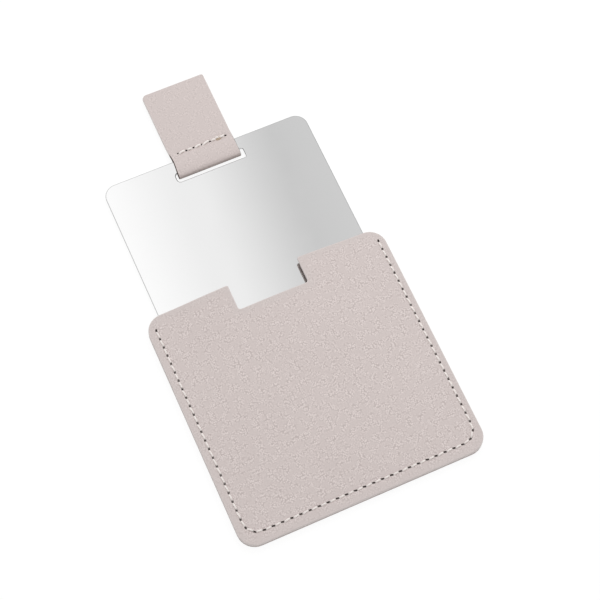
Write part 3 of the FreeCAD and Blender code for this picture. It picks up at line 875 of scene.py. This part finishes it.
@dataclass
class Stitches:
    """A row of stitches made by geometry nodes: one bar of thread from each needle hole to the next."""

    name: str
    side: Side
    thread: float
    bow: float
    seed: int
    slant: float = math.radians(8.0)
    unevenness: float = 0.06
    sink: float = 0.5 * MM
    hole_gap: float = 0.92 * MM
    cross_pull: float = 0.0
    backtack: int = 0
    backtack_offset: float = 0.3 * MM
    slack_limits: Pair = (-2.0, 0.5)
    rings: int = 10
    sides: int = 8
    crown_share: float = 1.333
    handle_share: float = 0.333

    ALONG = "thread_along"
    AROUND = "thread_around"
    COURSE = "stitch_course"
    SOCKETS = {"Path": "Geometry", "Thread Diameter": "Float", "Pitch": "Float", "Stitch Length": "Float",
               "Bow": "Float", "Sink": "Float", "Slant": "Float", "Unevenness": "Float", "Cross Pull": "Float",
               "Up": "Vector", "Seed": "Int", "Thread": "Material"}

    def tree(self) -> bpy.types.NodeTree:
        """Builds the node tree that lays a bar of thread on each edge of a path.

        Returns:
            The tree, with its sizes as named inputs.
        """
        tree = bpy.data.node_groups.new(f"{self.name}_nodes", "GeometryNodeTree")
        for label, kind in self.SOCKETS.items():
            tree.interface.new_socket(label, in_out="INPUT", socket_type=f"NodeSocket{kind}")
        tree.interface.new_socket("Stitches", in_out="OUTPUT", socket_type="NodeSocketGeometry")
        add = partial(add_node, tree)
        sizes = add("NodeGroupInput").outputs
        ends = add("GeometryNodeInputMeshEdgeVertices").outputs
        course = add("ShaderNodeVectorMath", (ends["Position 2"], ends["Position 1"]), operation="SUBTRACT")
        marked = add("GeometryNodeStoreNamedAttribute", {"Geometry": sizes["Path"], "Name": self.COURSE,
                                                         "Value": course}, data_type="FLOAT_VECTOR",
                     domain="EDGE")
        middles = add("GeometryNodeMeshToPoints", {"Mesh": marked}, mode="EDGES")
        along = add("GeometryNodeInputNamedAttribute", {"Name": self.COURSE}, data_type="FLOAT_VECTOR")
        chance, pull = [
            add("FunctionNodeRandomValue", {2: low, 3: high, 8: sizes["Seed"]}, data_type="FLOAT").outputs[1]
            for low, high in ((-1.0, 1.0), self.slack_limits)]
        swing = add("ShaderNodeMath", (chance, sizes["Unevenness"], sizes["Slant"]), operation="MULTIPLY_ADD")
        turned = add("ShaderNodeVectorRotate", {"Vector": along, "Axis": sizes["Up"], "Angle": swing},
                     rotation_type="AXIS_ANGLE")
        turn = add("FunctionNodeAxesToRotation", (sizes["Up"], turned), primary_axis="Z", secondary_axis="X")
        measured = add("ShaderNodeVectorMath", (along,), operation="LENGTH").outputs["Value"]
        stretch = add("ShaderNodeMath", (measured, sizes["Pitch"]), operation="DIVIDE")
        taut = add("ShaderNodeMath", (pull, sizes["Unevenness"], 1.0), operation="MULTIPLY_ADD")
        heading = add("ShaderNodeVectorMath", (along,), operation="NORMALIZE")
        across = add("ShaderNodeSeparateXYZ", (heading,))
        share = add("ShaderNodeMath", (across,), operation="ABSOLUTE")
        pulled = add("ShaderNodeMath", (share, sizes["Cross Pull"]), operation="MULTIPLY")
        kept = add("ShaderNodeMath", (1.0, pulled), operation="SUBTRACT")
        reach = stretch
        for factor in (taut, kept):
            reach = add("ShaderNodeMath", (reach, factor), operation="MULTIPLY")
        scale = add("ShaderNodeCombineXYZ", (reach, 1.0, 1.0))
        laid = add("GeometryNodeInstanceOnPoints", {
            "Points": middles, "Instance": self.bar(add, sizes), "Rotation": turn, "Scale": scale})
        real = add("GeometryNodeRealizeInstances", (laid,))
        dressed = add("GeometryNodeSetMaterial", {"Geometry": real, "Material": sizes["Thread"]})
        add("NodeGroupOutput", (dressed,))
        return tree

    def bar(self, add: AddNode, sizes: bpy.types.NodeOutputs) -> bpy.types.Node:
        """Adds the nodes of one bar of thread, which rises from a hole, runs over the leather and dives again.

        Args:
            add: Adds a node to the stitches' tree.
            sizes: The tree's named inputs.

        Returns:
            The node that gives the bar.
        """
        reach, back, deep, radius = [
            add("ShaderNodeMath", (sizes[label], share), operation="MULTIPLY")
            for label, share in (("Stitch Length", 0.5), ("Stitch Length", -0.5), ("Sink", -1.0),
                                 ("Thread Diameter", 0.5))]
        # A cubic curve's middle is three parts its handles to one part its ends: so lifted, the handles carry it
        # about a bow above the leather, whatever the sink.
        crown = add("ShaderNodeMath", (sizes["Bow"], self.crown_share, sizes["Sink"]), operation="MULTIPLY_ADD")
        lift = add("ShaderNodeMath", (crown, self.handle_share, sizes["Bow"]), operation="MULTIPLY_ADD")
        course = {label: add("ShaderNodeCombineXYZ", {0: x, 2: z}) for label, x, z in (
            ("Start", back, deep), ("Start Handle", back, lift),
            ("End Handle", reach, lift), ("End", reach, deep))}
        line = add("GeometryNodeCurvePrimitiveBezierSegment", {"Resolution": self.rings, **course})
        section = add("GeometryNodeCurvePrimitiveCircle", {"Resolution": self.sides, "Radius": radius})
        share = add("GeometryNodeSplineParameter").outputs["Factor"]
        line, section = [
            add("GeometryNodeStoreNamedAttribute", {"Geometry": curve, "Name": label, "Value": share},
                data_type="FLOAT", domain="POINT")
            for curve, label in ((line, self.ALONG), (section, self.AROUND))]
        tube = add("GeometryNodeCurveToMesh", {"Curve": line, "Profile Curve": section, "Fill Caps": True})
        return add("GeometryNodeSetShadeSmooth", {"Geometry": tube})

    def build(self, line: SewingLine, height: Height, thread: bpy.types.Material) -> bpy.types.Object:
        """Sews the row along a line.

        Args:
            line: The line of needle holes.
            height: Gives the height of the leather's face at flat points.
            thread: The thread's material.

        Returns:
            The stitches as one plain mesh.
        """
        places = [place for place, _ in line.holes()]
        for step in range(self.backtack):
            place, along = line.at(line.length - line.pitch * (step + 0.5))
            places.append(place + left_of(along) * self.backtack_offset)
        flat = np.array(places)
        path = bpy.data.meshes.new(f"{self.name}_path")
        path.from_pydata(np.column_stack((flat, height(flat))).tolist(),
                         [(index, index + 1) for index in range(len(flat) - 1)], [])
        sewer = new_object(f"{self.name}_sewer", path, [])
        modifier = sewer.modifiers.new("stitches", "NODES")
        modifier.node_group = self.tree()
        values = {"Thread Diameter": self.thread, "Pitch": line.pitch,
                  "Stitch Length": line.pitch - self.hole_gap, "Bow": self.bow, "Sink": self.sink,
                  "Slant": self.slant, "Unevenness": self.unevenness, "Cross Pull": self.cross_pull,
                  "Up": (0.0, 0.0, self.side.value), "Seed": self.seed, "Thread": thread}
        for socket in modifier.node_group.interface.items_tree:
            if socket.name in values:
                modifier[socket.identifier] = values[socket.name]
        graph = bpy.context.evaluated_depsgraph_get()
        mesh = bpy.data.meshes.new_from_object(sewer.evaluated_get(graph))
        sewer.modifiers.remove(modifier)
        bpy.data.objects.remove(sewer)
        mesh.materials.clear()
        mesh.polygons.foreach_set("material_index", [0] * len(mesh.polygons))
        return new_object(self.name, mesh, [thread])


@dataclass
class Sleeve:
    """Two lined leather panels, sewn together round a welt along both sides and the bottom."""

    corner_radius: float = 6.0 * MM
    welt_width: float = 4.6 * MM
    welt_shoulder: float = 2.7 * MM
    welt_end_trim: float = 0.75 * MM
    welt_end_round: float = 0.3 * MM
    welt_corner: float = 4.0 * MM
    welt_margin: float = 0.05 * MM
    welt_round: float = 0.1 * MM
    pocket_corner: float = 3.5 * MM
    lining_margin: float = 0.12 * MM
    lining_round: float = 0.06 * MM
    lining_arc_steps: int = 2
    mouth_rise: float = 2.35 * MM
    foot_width: float = 9.6 * MM
    notch_half: float = 12.55 * MM
    notch_depth: float = 9.5 * MM
    notch_lip: float = 0.7 * MM
    notch_corner: float = 1.0 * MM
    grain_round: float = 0.3 * MM
    flesh_round: float = 0.08 * MM
    edge_hold: float = 0.12 * MM
    seam_side_inset: float = 2.6 * MM
    seam_bottom_inset: float = 3.7 * MM
    seam_corner_radius: float = 5.0 * MM
    seam_shift: float = 0.25 * MM
    seam_end_gap: float = 4.8 * MM
    seam_band: float = 1.6 * MM
    back_groove: float = 0.36 * MM
    stitch_count: int = 72
    thread: float = 0.62 * MM
    front_bow: float = 0.31 * MM
    back_bow: float = 0.035 * MM
    front_seed: int = 7
    back_seed: int = 11
    cross_stretch: float = 0.36
    cross_pull: float = 0.15
    rim_wear: float = 0.7
    rim_width: float = 2.3 * MM
    edge_step: float = 1.0 * MM
    grid: float = 2.0 * MM
    body: str = "sleeve"

    def __post_init__(self) -> None:
        """Reads the layers' places from the frame."""
        low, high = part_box("back_skin")
        self.half_width, self.mouth = high.x, high.y
        skin = high.z - low.z
        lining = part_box("back_lining")[1].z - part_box("back_lining")[0].z
        self.levels = {node: (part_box(node)[0].z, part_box(node)[0].z + thickness) for node, thickness in (
            ("back_skin", skin), ("front_skin", skin), ("back_lining", lining), ("front_lining", lining))}
        self.pocket_half = self.half_width - self.welt_width
        self.pocket_floor = self.welt_width - self.mouth

    def outline(self) -> Points:
        """Draws the outline of a panel.

        Returns:
            The points of the outline.
        """
        side, end, notch, floor = self.half_width, self.mouth, self.notch_half, self.mouth - self.notch_depth
        return rounded_outline(both_sides([
            Corner(side, -end, self.corner_radius), Corner(side, end, self.corner_radius),
            Corner(notch, end, self.notch_lip), Corner(notch, floor, self.notch_corner)]), self.edge_step)

    def seam(self) -> SewingLine:
        """Draws the sewing line, from the mouth down one side, along the bottom and up the other side.

        Returns:
            The sewing line.
        """
        side = self.half_width - self.seam_side_inset
        top, bottom = self.mouth - self.seam_end_gap, self.seam_bottom_inset - self.mouth
        bend = self.seam_corner_radius
        leg, corner = (top - bottom - bend, 0.0), (math.pi / 2 * bend, 1 / bend)
        return SewingLine((self.seam_shift - side, top), -math.pi / 2,
                          [leg, corner, (2 * (side - bend), 0.0), corner, leg], self.stitch_count,
                          cross_stretch=self.cross_stretch)

    def arch(self, flat: Points) -> np.ndarray:
        """Works out how far the front panel is lifted off the card, from nothing at the seam to the open mouth.

        Args:
            flat: The flat points.

        Returns:
            The lift at each point.
        """
        bend = self.pocket_half - self.foot_width
        slope = math.sin(2 * math.atan(self.mouth_rise / self.pocket_half))
        crown, foot = bend / slope, self.foot_width / slope
        across = np.abs(flat[:, 0])
        on_foot = np.clip(self.pocket_half - across, 0.0, self.foot_width)
        on_crown = np.clip(across, 0.0, bend)
        foot_lift = foot - np.sqrt(foot ** 2 - on_foot ** 2)
        crown_lift = self.mouth_rise - crown + np.sqrt(crown ** 2 - on_crown ** 2)
        section = np.where(across < bend, crown_lift, foot_lift)
        share = np.clip((flat[:, 1] - self.pocket_floor) / (self.mouth - self.pocket_floor), 0.0, None)
        return section * share

    def panel(self, name: str, low: Height, high: Height, side: Side) -> bpy.types.Object:
        """Builds a leather panel with its needle holes and drawn-in seam.

        Args:
            name: The piece's name.
            low: The height of its lower face.
            high: The height of its upper face.
            side: The side that shows its grain.

        Returns:
            The panel.
        """
        seam, outline = self.seam(), self.outline()
        holes, band = seam.hole_loops(), seam.band(self.seam_band)
        inner = np.vstack([band, grid_inside(outline, np.vstack([outline, *holes, band]), self.grid)])
        rounds = (self.grain_round, self.flesh_round)

        def wear_and_shade(flat: Points) -> np.ndarray:
            """Returns how rubbed the leather is, most at its outer edge."""
            return self.rim_wear * np.exp(-(nearest_gaps(flat, outline) / self.rim_width) ** 2)

        sheet = CutSheet(outline, holes, inner, *(rounds if side is Side.FRONT else reversed(rounds)),
                         hold=(self.edge_hold,), edge_zone=Zone.EDGE, hole_zone=Zone.BACKING,
                         back_zone=Zone.BACKING, wear_and_shade=wear_and_shade)
        mesh = sheet.mesh(name, low, high)
        if side is Side.BACK:
            swap_faces(mesh)
        return new_object(name, mesh, [SLEEVE_LEATHER, EDGE_PAINT, BACKING])

    def lining(self, name: str, low: Height, high: Height) -> bpy.types.Object:
        """Builds a lining, which ends just short of the leather's cut edge.

        Args:
            name: The piece's name.
            low: The height of its lower face.
            high: The height of its upper face.

        Returns:
            The lining.
        """
        outline = inset(self.outline(), self.lining_margin)
        sheet = CutSheet(outline, inner=grid_inside(outline, outline, self.grid), round_high=self.lining_round,
                         round_low=self.lining_round, arc_steps=self.lining_arc_steps, edge_zone=Zone.EDGE)
        return new_object(name, sheet.mesh(name, low, high), [LINING, EDGE_PAINT])

    def welt(self) -> bpy.types.Object:
        """Builds the U-shaped strip that keeps the two panels apart in the seam.

        Returns:
            The welt.
        """
        low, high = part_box("seam_welt")
        side, end, inner, top = high.x, high.x - self.welt_end_trim, self.pocket_half, high.y
        outline = inset(rounded_outline(both_sides([
            Corner(side, low.y, self.corner_radius), Corner(side, top - self.welt_shoulder, self.welt_corner),
            Corner(end, top, self.welt_end_round), Corner(inner, top, self.welt_end_round),
            Corner(inner, self.pocket_floor, self.pocket_corner)]), self.edge_step), self.welt_margin)
        sheet = CutSheet(outline, inner=grid_inside(outline, outline, self.grid), round_high=self.welt_round,
                         round_low=self.welt_round, edge_zone=Zone.EDGE)
        return new_object("seam_welt_strip", sheet.mesh("seam_welt_strip", level(low.z), level(high.z)),
                          [BACKING, EDGE_PAINT])

    def stitches(self, side: Side, seam: SewingLine, height: Height, bow: float, seed: int) -> bpy.types.Object:
        """Sews one side of the seam.

        Args:
            side: The side that the stitches lie on.
            seam: The sewing line.
            height: The height of the leather's face.
            bow: How far the stitches stand proud.
            seed: The seed of their unevenness.

        Returns:
            The stitches.
        """
        row = Stitches(f"seam_stitches_{side.name.lower()}", side, self.thread, bow, seed,
                       cross_pull=self.cross_pull)
        return row.build(seam, height, THREAD)

    def build(self) -> None:
        """Builds the sleeve's pieces and lets them ride on its body."""
        seam = self.seam()
        back_low, back_high = self.levels["back_skin"]
        front_low, front_high = self.levels["front_skin"]

        def arched(height: float) -> Height:
            """Returns the height function of a face of the arched front."""
            return lambda flat: height + self.arch(flat)

        def top(flat: Points) -> np.ndarray:
            """Returns the height of the front panel's grain face."""
            return front_high + self.arch(flat) - seam.dip(flat)

        def underside(flat: Points) -> np.ndarray:
            """Returns the height of the back panel's grain face, with the groove that its stitches lie in."""
            return back_low + seam.dip(flat) / (seam.groove_depth + seam.pucker_depth) * self.back_groove

        front_lining, back_lining = [[shape(height) for height in self.levels[node]]
                                     for shape, node in ((arched, "front_lining"), (level, "back_lining"))]
        pieces = [
            ("sleeve_leather", "front_skin",
             self.panel("front_panel_leather", arched(front_low), top, Side.FRONT)),
            ("sleeve_leather", "back_skin",
             self.panel("back_panel_leather", underside, level(back_high), Side.BACK)),
            ("lining", "front_lining", self.lining("front_panel_lining", *front_lining)),
            ("lining", "back_lining", self.lining("back_panel_lining", *back_lining)),
            ("welt_leather", "seam_welt", self.welt()),
            ("thread", "seam_needle_thread",
             self.stitches(Side.FRONT, seam, top, self.front_bow, self.front_seed)),
            ("thread", "seam_bobbin_thread",
             self.stitches(Side.BACK, seam, underside, self.back_bow, self.back_seed)),
        ]
        for slot, node, piece in pieces:
            stand_for(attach(piece, self.body), slot, node)


@dataclass
class MirrorCard:
    """The polished steel card with its strap slot."""

    corner_radius: float = 4.5 * MM
    corner_steps: int = 12
    slot_ends: Pair = (-12.4 * MM, 12.9 * MM)
    slot_from_top: Pair = (4.6 * MM, 8.1 * MM)
    slot_radii: Pair = (1.2 * MM, 0.5 * MM)
    edge_round: float = 0.26 * MM
    edge_step: float = 3.0 * MM
    hold: Pair = (0.03 * MM, 0.3 * MM)
    body: str = "mirror_card"

    def build(self) -> None:
        """Builds the card and lets it ride on its body."""
        low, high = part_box("mirror_plate")
        outline = rounded_outline(box_corners((-high.x, high.x), (low.y, high.y), (self.corner_radius,) * 2),
                                  self.edge_step, self.corner_steps)
        upper, lower = [high.y - drop for drop in self.slot_from_top]
        slot = rounded_outline(box_corners(self.slot_ends, (lower, upper), self.slot_radii), self.edge_step)[::-1]
        sheet = CutSheet(outline, [slot], round_high=self.edge_round, round_low=self.edge_round,
                         hole_round=self.edge_round, hold=self.hold, edge_zone=Zone.EDGE, hole_zone=Zone.EDGE)
        mesh = sheet.mesh("mirror_card_steel", level(low.z), level(high.z))
        piece = new_object("mirror_card_steel", mesh, [STEEL, SHADED_STEEL_RIM])
        stand_for(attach(piece, self.body), "mirror_steel", "mirror_plate")


@dataclass
class PullTab:
    """The leather strap that is folded round the card's bridge and sewn shut, as one strip."""

    strap: float = 0.9 * MM
    corner_radii: Pair = (1.5 * MM, 0.8 * MM)
    grain_round: float = 0.22 * MM
    flesh_round: float = 0.08 * MM
    edge_hold: float = 0.12 * MM
    closing_start: float = 3.4 * MM
    closing_end: float = 8.0 * MM
    closing_gap: float = 0.01 * MM
    back_longer: float = 0.3 * MM
    waist: float = 0.42 * MM
    waist_reach: float = 3.5 * MM
    row_half: float = 8.85 * MM
    row_shift: float = 0.4 * MM
    row_from_edge: float = 2.0 * MM
    row_band: float = 1.4 * MM
    stitch_count: int = 6
    stitch_slant: float = math.radians(6.0)
    stitch_unevenness: float = 0.22
    stitch_bow: float = 0.3 * MM
    stitch_seed: int = 13
    backtack: int = 2
    hole_gap: float = 0.7 * MM
    hole_length: float = 0.95 * MM
    hole_width: float = 0.5 * MM
    thread: float = 0.72 * MM
    # Painted shade: the fold is drawn darker, most in its crease and more faintly further out.
    crease_shade: float = 0.76
    crease_reach: float = 0.55 * MM
    soft_shade: float = 0.17
    soft_reach: float = 2.4 * MM
    fold_shift: float = 0.2 * MM
    end_trim: float = 0.22 * MM
    thread_end_place: Pair = (6.7 * MM, -0.15 * MM)
    thread_end_size: Place = (1.1 * MM, 0.75 * MM, 0.3 * MM)
    thread_end_lumps: tuple[Pair, ...] = ((0.22, 1.7), (0.1, 4.0))
    thread_end_fineness: int = 3
    # Painted shade: the cut edge shows dark brown fibre near the fold, fading out past the card.
    bare_and_shade_past_card: Pair = (1.0 * MM, 5.0 * MM)
    bare_and_shade_depth: float = 0.26 * MM
    flex_reach: Pair = (1.2 * MM, 0.6 * MM)
    tight_corner: float = 0.1 * MM
    tight_step: float = 1.0 * MM
    fine_grid: float = 0.4 * MM
    coarse_grid: float = 1.5 * MM
    body: str = "pull_tab"

    def __post_init__(self) -> None:
        """Reads the strap's places from the frame."""
        low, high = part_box("tab_loop")
        self.half_width = high.x
        self.middle = (low.z + high.z) / 2
        self.radius = (high.z - low.z - self.strap) / 2
        self.fold_centre = low.y + (high.z - low.z) / 2 + self.fold_shift
        self.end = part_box("tab_leaf")[1].y - self.end_trim
        self.card_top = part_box("mirror_plate")[1].y
        self.row = self.card_top + self.row_from_edge
        self.quarter = math.pi / 2 * self.radius

    def closing(self, run: np.ndarray) -> tuple[np.ndarray, np.ndarray]:
        """Works out how the two leaves come together past the card's edge.

        Args:
            run: The distance along the strap from the end of the fold.

        Returns:
            How far each leaf has moved towards the other, and how steeply.
        """
        span = self.closing_end - self.closing_start
        share = np.clip((run - self.closing_start) / span, 0.0, 1.0)
        travel = self.radius - self.strap / 2 - self.closing_gap
        return travel * share ** 2 * (3 - 2 * share), travel * 6 * share * (1 - share) / span

    def fold(self, flat: Points) -> Points:
        """Bends the flat strap round the bridge of the card.

        Args:
            flat: The strap's points: across, along from the middle of the fold, and out from its middle layer.

        Returns:
            The points in the frame.
        """
        across, along, out = flat.T
        side = np.where(along < 0, -1.0, 1.0)
        turn = np.clip(np.abs(along) / self.radius, 0.0, math.pi / 2)
        run = np.maximum(np.abs(along) - self.quarter, 0.0)
        drawn, slope = self.closing(run)
        lean = np.sqrt(1 + slope ** 2)
        y = self.fold_centre - self.radius * np.cos(turn) + run + out * (slope - np.cos(turn)) / lean
        z = self.middle + side * (self.radius * np.sin(turn) - drawn + out * np.sin(turn) / lean)
        on_left = np.clip(-across / self.half_width, 0.0, 1.0)
        drawn_in = self.waist * on_left * np.exp(-((y - self.card_top) / self.waist_reach) ** 2)
        return np.column_stack((across + drawn_in, y, z))

    def along(self, y: float) -> float:
        """Returns how far a place on a leaf lies from the middle of the fold, along the strap."""
        return self.quarter + y - self.fold_centre

    def row_line(self, place: float) -> SewingLine:
        """Returns the row of stitches at a place along the strap."""
        return SewingLine((self.row_shift - self.row_half, place), 0.0, [(2 * self.row_half, 0.0)],
                          self.stitch_count, self.hole_length, self.hole_width)

    def build(self) -> None:
        """Builds the strap, its stitches and the end of their thread."""
        self.build_strap()
        for side, node in ((Side.FRONT, "tab_needle_thread"), (Side.BACK, "tab_bobbin_thread")):
            face = self.fold(np.array([[0.0, side.value * self.along(self.row), self.strap / 2]]))[0][2]
            row = Stitches(f"tab_stitches_{side.name.lower()}", side, self.thread, self.stitch_bow,
                           self.stitch_seed, slant=self.stitch_slant, unevenness=self.stitch_unevenness,
                           hole_gap=self.hole_gap, backtack=self.backtack)
            stitches = row.build(self.row_line(self.row), level(face), THREAD)
            stand_for(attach(stitches, self.body), "thread", node)
            if side is Side.FRONT:
                self.build_thread_end(face)

    def build_strap(self) -> None:
        """Builds the strap as one piece, bent round the card's bridge."""
        rows = [self.row_line(side.value * self.along(self.row)) for side in Side]
        side, front, back = self.half_width, self.along(self.end), -self.along(self.end + self.back_longer)
        outline = rounded_outline(box_corners((-side, side), (back, front), self.corner_radii), self.fine_grid)
        holes = [loop for row in rows for loop in row.hole_loops()]
        bands = np.vstack([row.band(self.row_band) for row in rows])
        taken = np.vstack([outline, *holes, bands])
        bend = self.along(self.fold_centre + self.closing_end)
        tight = rounded_outline(box_corners((-side, side), (-bend, bend), (self.tight_corner,) * 2),
                                self.tight_step)
        fine = grid_inside(tight, taken, self.fine_grid)
        coarse = grid_inside(outline, np.vstack([taken, fine]), self.coarse_grid)
        bare_and_shade_limits = [self.along(self.card_top + reach) for reach in self.bare_and_shade_past_card]

        def outer(flat: Points) -> np.ndarray:
            """Returns the height of the strap's grain face above its middle layer."""
            return self.strap / 2 - sum(row.dip(flat) for row in rows)

        def fold_shade(flat: Points) -> np.ndarray:
            """Returns the share of painted shade that the fold gets, most in its crease."""
            return sum(share * np.exp(-(flat[:, 1] / reach) ** 2) for share, reach in (
                (self.crease_shade, self.crease_reach), (self.soft_shade, self.soft_reach)))

        def shaded_bare_edge(flat: Points) -> np.ndarray:
            """Returns how much of the cut edge shows brown fibre, as scuffed-off paint and painted shade: wholly
            at the fold, nowhere past the row.
            """
            worn_and_shaded = np.interp(np.abs(flat[:, 1]), bare_and_shade_limits, (1.0, 0.0))
            return worn_and_shaded * np.clip(1.0 - nearest_gaps(flat, outline) / self.bare_and_shade_depth, 0.0, 1.0)

        sheet = CutSheet(outline, holes, np.vstack([bands, fine, coarse]), self.grain_round, self.flesh_round,
                         hold=(self.edge_hold,), edge_zone=Zone.EDGE, hole_zone=Zone.BACKING,
                         back_zone=Zone.BACKING, wear_and_shade=fold_shade, bare_and_shade=shaded_bare_edge)
        mesh = sheet.mesh("pull_strap", level(-self.strap / 2), outer, self.fold)
        strap = new_object("pull_strap", mesh, [STRAP_LEATHER, EDGE_PAINT, BACKING])
        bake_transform(strap)
        stand_for(strap, "strap_leather", "tab_loop", "tab_leaf")

    def build_thread_end(self, face: float) -> None:
        """Builds the lump that the thread's end was melted down to, beside the row's last stitches.

        Args:
            face: The height of the leather's face at the row.
        """
        lump = bmesh.new()
        bmesh.ops.create_icosphere(lump, subdivisions=self.thread_end_fineness, radius=1.0)
        centre = Vector((self.thread_end_place[0], self.row + self.thread_end_place[1], face))
        for vertex in lump.verts:
            swell = 1.0 + sum(share * noise.noise(vertex.co * rate) for share, rate in self.thread_end_lumps)
            vertex.co = centre + vertex.co * Vector(self.thread_end_size) * swell
        mesh = bpy.data.meshes.new("tab_thread_end")
        lump.to_mesh(mesh)
        lump.free()
        mesh.polygons.foreach_set("use_smooth", [True] * len(mesh.polygons))
        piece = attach(new_object("tab_thread_end", mesh, [MELTED_THREAD]), self.body)
        LOG.info("%s: %d faces", piece.name, len(mesh.polygons))


@dataclass
class Studio:
    """The pale floor, the soft light and the camera."""

    camera_place: Place = (-90.49 * MM, -167.18 * MM, 535.1 * MM)
    camera_turn_deg: Place = (22.336, -1.035, -24.131)
    camera_clip: Pair = (0.01, 20.0)
    focal_pixels: float = 1731.7
    sensor_mm: float = 36.0
    dome: float = 0.74
    key: float = 0.26
    key_place: Place = (0.18, 0.24, 0.38)
    key_size: float = 0.4
    # What polished steel shows of the surround: grey by the way across, and darker towards the horizon.
    panel: float = 1.08
    panel_low: float = 0.8
    panel_heights: Pair = (0.3, 0.75)
    panel_span: Pair = (0.08, 0.24)
    panel_shades: tuple[Pair, ...] = ((0.06, 1.0), (0.28, 0.882), (0.42, 0.838), (0.66, 0.612),
                                                     (0.75, 0.602), (0.90, 0.634))
    floor_half: float = 3.0

    def build(self) -> None:
        """Sets up the camera, the light and the floor."""
        self.build_camera()
        self.build_light()
        self.build_world()
        self.build_floor()
        bpy.context.scene.view_settings.view_transform = "Standard"

    def build_camera(self) -> None:
        """Places the camera where the photograph was taken from."""
        data = bpy.data.cameras.new("photo_camera")
        data.sensor_width = self.sensor_mm
        data.lens = self.focal_pixels / PHOTO_PIXELS * self.sensor_mm
        data.clip_start, data.clip_end = self.camera_clip
        camera = bpy.data.objects.new("photo_camera", data)
        camera.location = self.camera_place
        camera.rotation_euler = [math.radians(turn) for turn in self.camera_turn_deg]
        bpy.context.scene.collection.objects.link(camera)
        bpy.context.scene.camera = camera

    def build_light(self) -> None:
        """Hangs a broad soft key light, which polished steel doesn't show."""
        data = bpy.data.lights.new("soft_key", "AREA")
        data.shape = "DISK"
        data.size = self.key_size
        place = Vector(self.key_place)
        # At this power the lamp alone shows a level surface at the origin at the key's share of its colour.
        data.energy = self.key * math.pi ** 2 * place.length ** 3 / place.z
        lamp = bpy.data.objects.new("soft_key", data)
        lamp.location = place
        lamp.rotation_euler = (-place).to_track_quat("-Z", "Y").to_euler()
        lamp.visible_glossy = False
        bpy.context.scene.collection.objects.link(lamp)

    def build_world(self) -> None:
        """Makes the surround: plain light on the object, white for the camera, shaded to one side for steel."""
        world = bpy.data.worlds.new("white_surround")
        bpy.context.scene.world = world
        world.use_nodes = True
        world.node_tree.nodes.clear()
        add = partial(add_node, world.node_tree)
        rays = add("ShaderNodeLightPath").outputs
        way = add("ShaderNodeTexCoord").outputs["Generated"]
        split = add("ShaderNodeSeparateXYZ", (way,)).outputs
        across = add("ShaderNodeMapRange", (split["X"], *self.panel_span))
        shade = add("ShaderNodeValToRGB", (across,))
        stops = shade.color_ramp.elements
        shade.color_ramp.interpolation = "CARDINAL"
        while len(stops) < len(self.panel_shades):
            stops.new(1.0)
        for stop, (share, grey) in zip(stops, self.panel_shades):
            stop.position = share
            stop.color = (grey, grey, grey, 1.0)
        height = add("ShaderNodeMapRange", (split["Z"], *self.panel_heights, self.panel * self.panel_low,
                                            self.panel))
        white = (1.0, 1.0, 1.0, 1.0)
        dome, panel, seen = [
            add("ShaderNodeBackground", {"Color": colour, "Strength": strength})
            for colour, strength in ((white, self.dome), (shade, height), (white, 1.0))]
        mirrored = add("ShaderNodeMixShader", (rays["Is Glossy Ray"], dome, panel))
        direct = add("ShaderNodeMath", (rays["Is Camera Ray"], rays["Is Transmission Ray"]), operation="MAXIMUM")
        surround = add("ShaderNodeMixShader", (direct, mirrored, seen))
        add("ShaderNodeOutputWorld", {"Surface": surround})

    def build_floor(self) -> None:
        """Lays a white floor that keeps the object's soft shadow."""
        half = self.floor_half
        mesh = bpy.data.meshes.new("studio_floor")
        mesh.from_pydata([(-half, -half, 0.0), (half, -half, 0.0), (half, half, 0.0), (-half, half, 0.0)], [],
                         [(0, 1, 2, 3)])
        new_object("studio_floor", mesh, [WhitePaper("matt_white_paper").material()])


# Pigmented cowhide, embossed with a fine pebble: pinkish grey and matt, with patches of clearer grain.
SLEEVE_LEATHER = PebbledLeather("pebbled_cowhide_sleeve", "#E5DAD7", "#C2B6B3", "#CFC5C2").material()
# The same hide on the strap, pressed flatter, so its grain is fainter; its fold is painted darker, as painted
# shade.
STRAP_LEATHER = PebbledLeather("pebbled_cowhide_strap", "#DACECB", "#C8BDBA", "#9C8E89", 0.05, 1.3).material()
# Acrylic paint brushed on cut edges: smooth, a little paler than the hide; brown fibre at the strap's fold, as
# scuffed-off paint and painted shade.
EDGE_PAINT = PaintedEdge("edge_paint_on_cut_leather", "#DED4D1", "#CEC4C1", "#66564F", "#443630").material()
# The hide's dyed flesh side: dark and dull, seen in needle holes and at the mouth.
BACKING = FibreSurface("dark_leather_backing", "#4A3A36", "#2E2422", 0.18, 0.05, 0.0).material()
# Brushed microfibre: soft grey, with a faint sheen.
LINING = FibreSurface("microfibre_lining", "#A89C98", "#8C807C", 0.12, 0.04, 0.25).material()
# Twisted and bonded polyester: almost white, with a soft gloss on its plies.
THREAD = TwistedThread("bonded_polyester_thread", "#FFFAF7", "#E8DDD7").material()
# Polyester melted by a flame: a tan bead with a dull gloss.
MELTED_THREAD = FibreSurface("melted_polyester_thread", "#BDAB97", "#98846F", 0.45, 0.06, 0.1, 0.6).material()
# Rolled stainless steel, buffed to a mirror: it shows the surround, hardly dimmed.
STEEL = PolishedSteel("mirror_polished_stainless_steel", "#F4F4F4").material()
# The same steel on its tumbled edges: rougher and blurred, and coloured darker than the faces, as painted shade
# for the dark line along its edges.
SHADED_STEEL_RIM = PolishedSteel("tumbled_steel_rim_painted_darker", "#C6C6C6", 1.2, 0.22, 0.4).material()


def main() -> None:
    """Builds the sleeve, the card, its tab and the studio round them."""
    logging.basicConfig(level=logging.INFO, format="%(name)s: %(message)s")
    Sleeve().build()
    MirrorCard().build()
    PullTab().build()
    Studio().build()


if __name__ == "__main__":
    main()
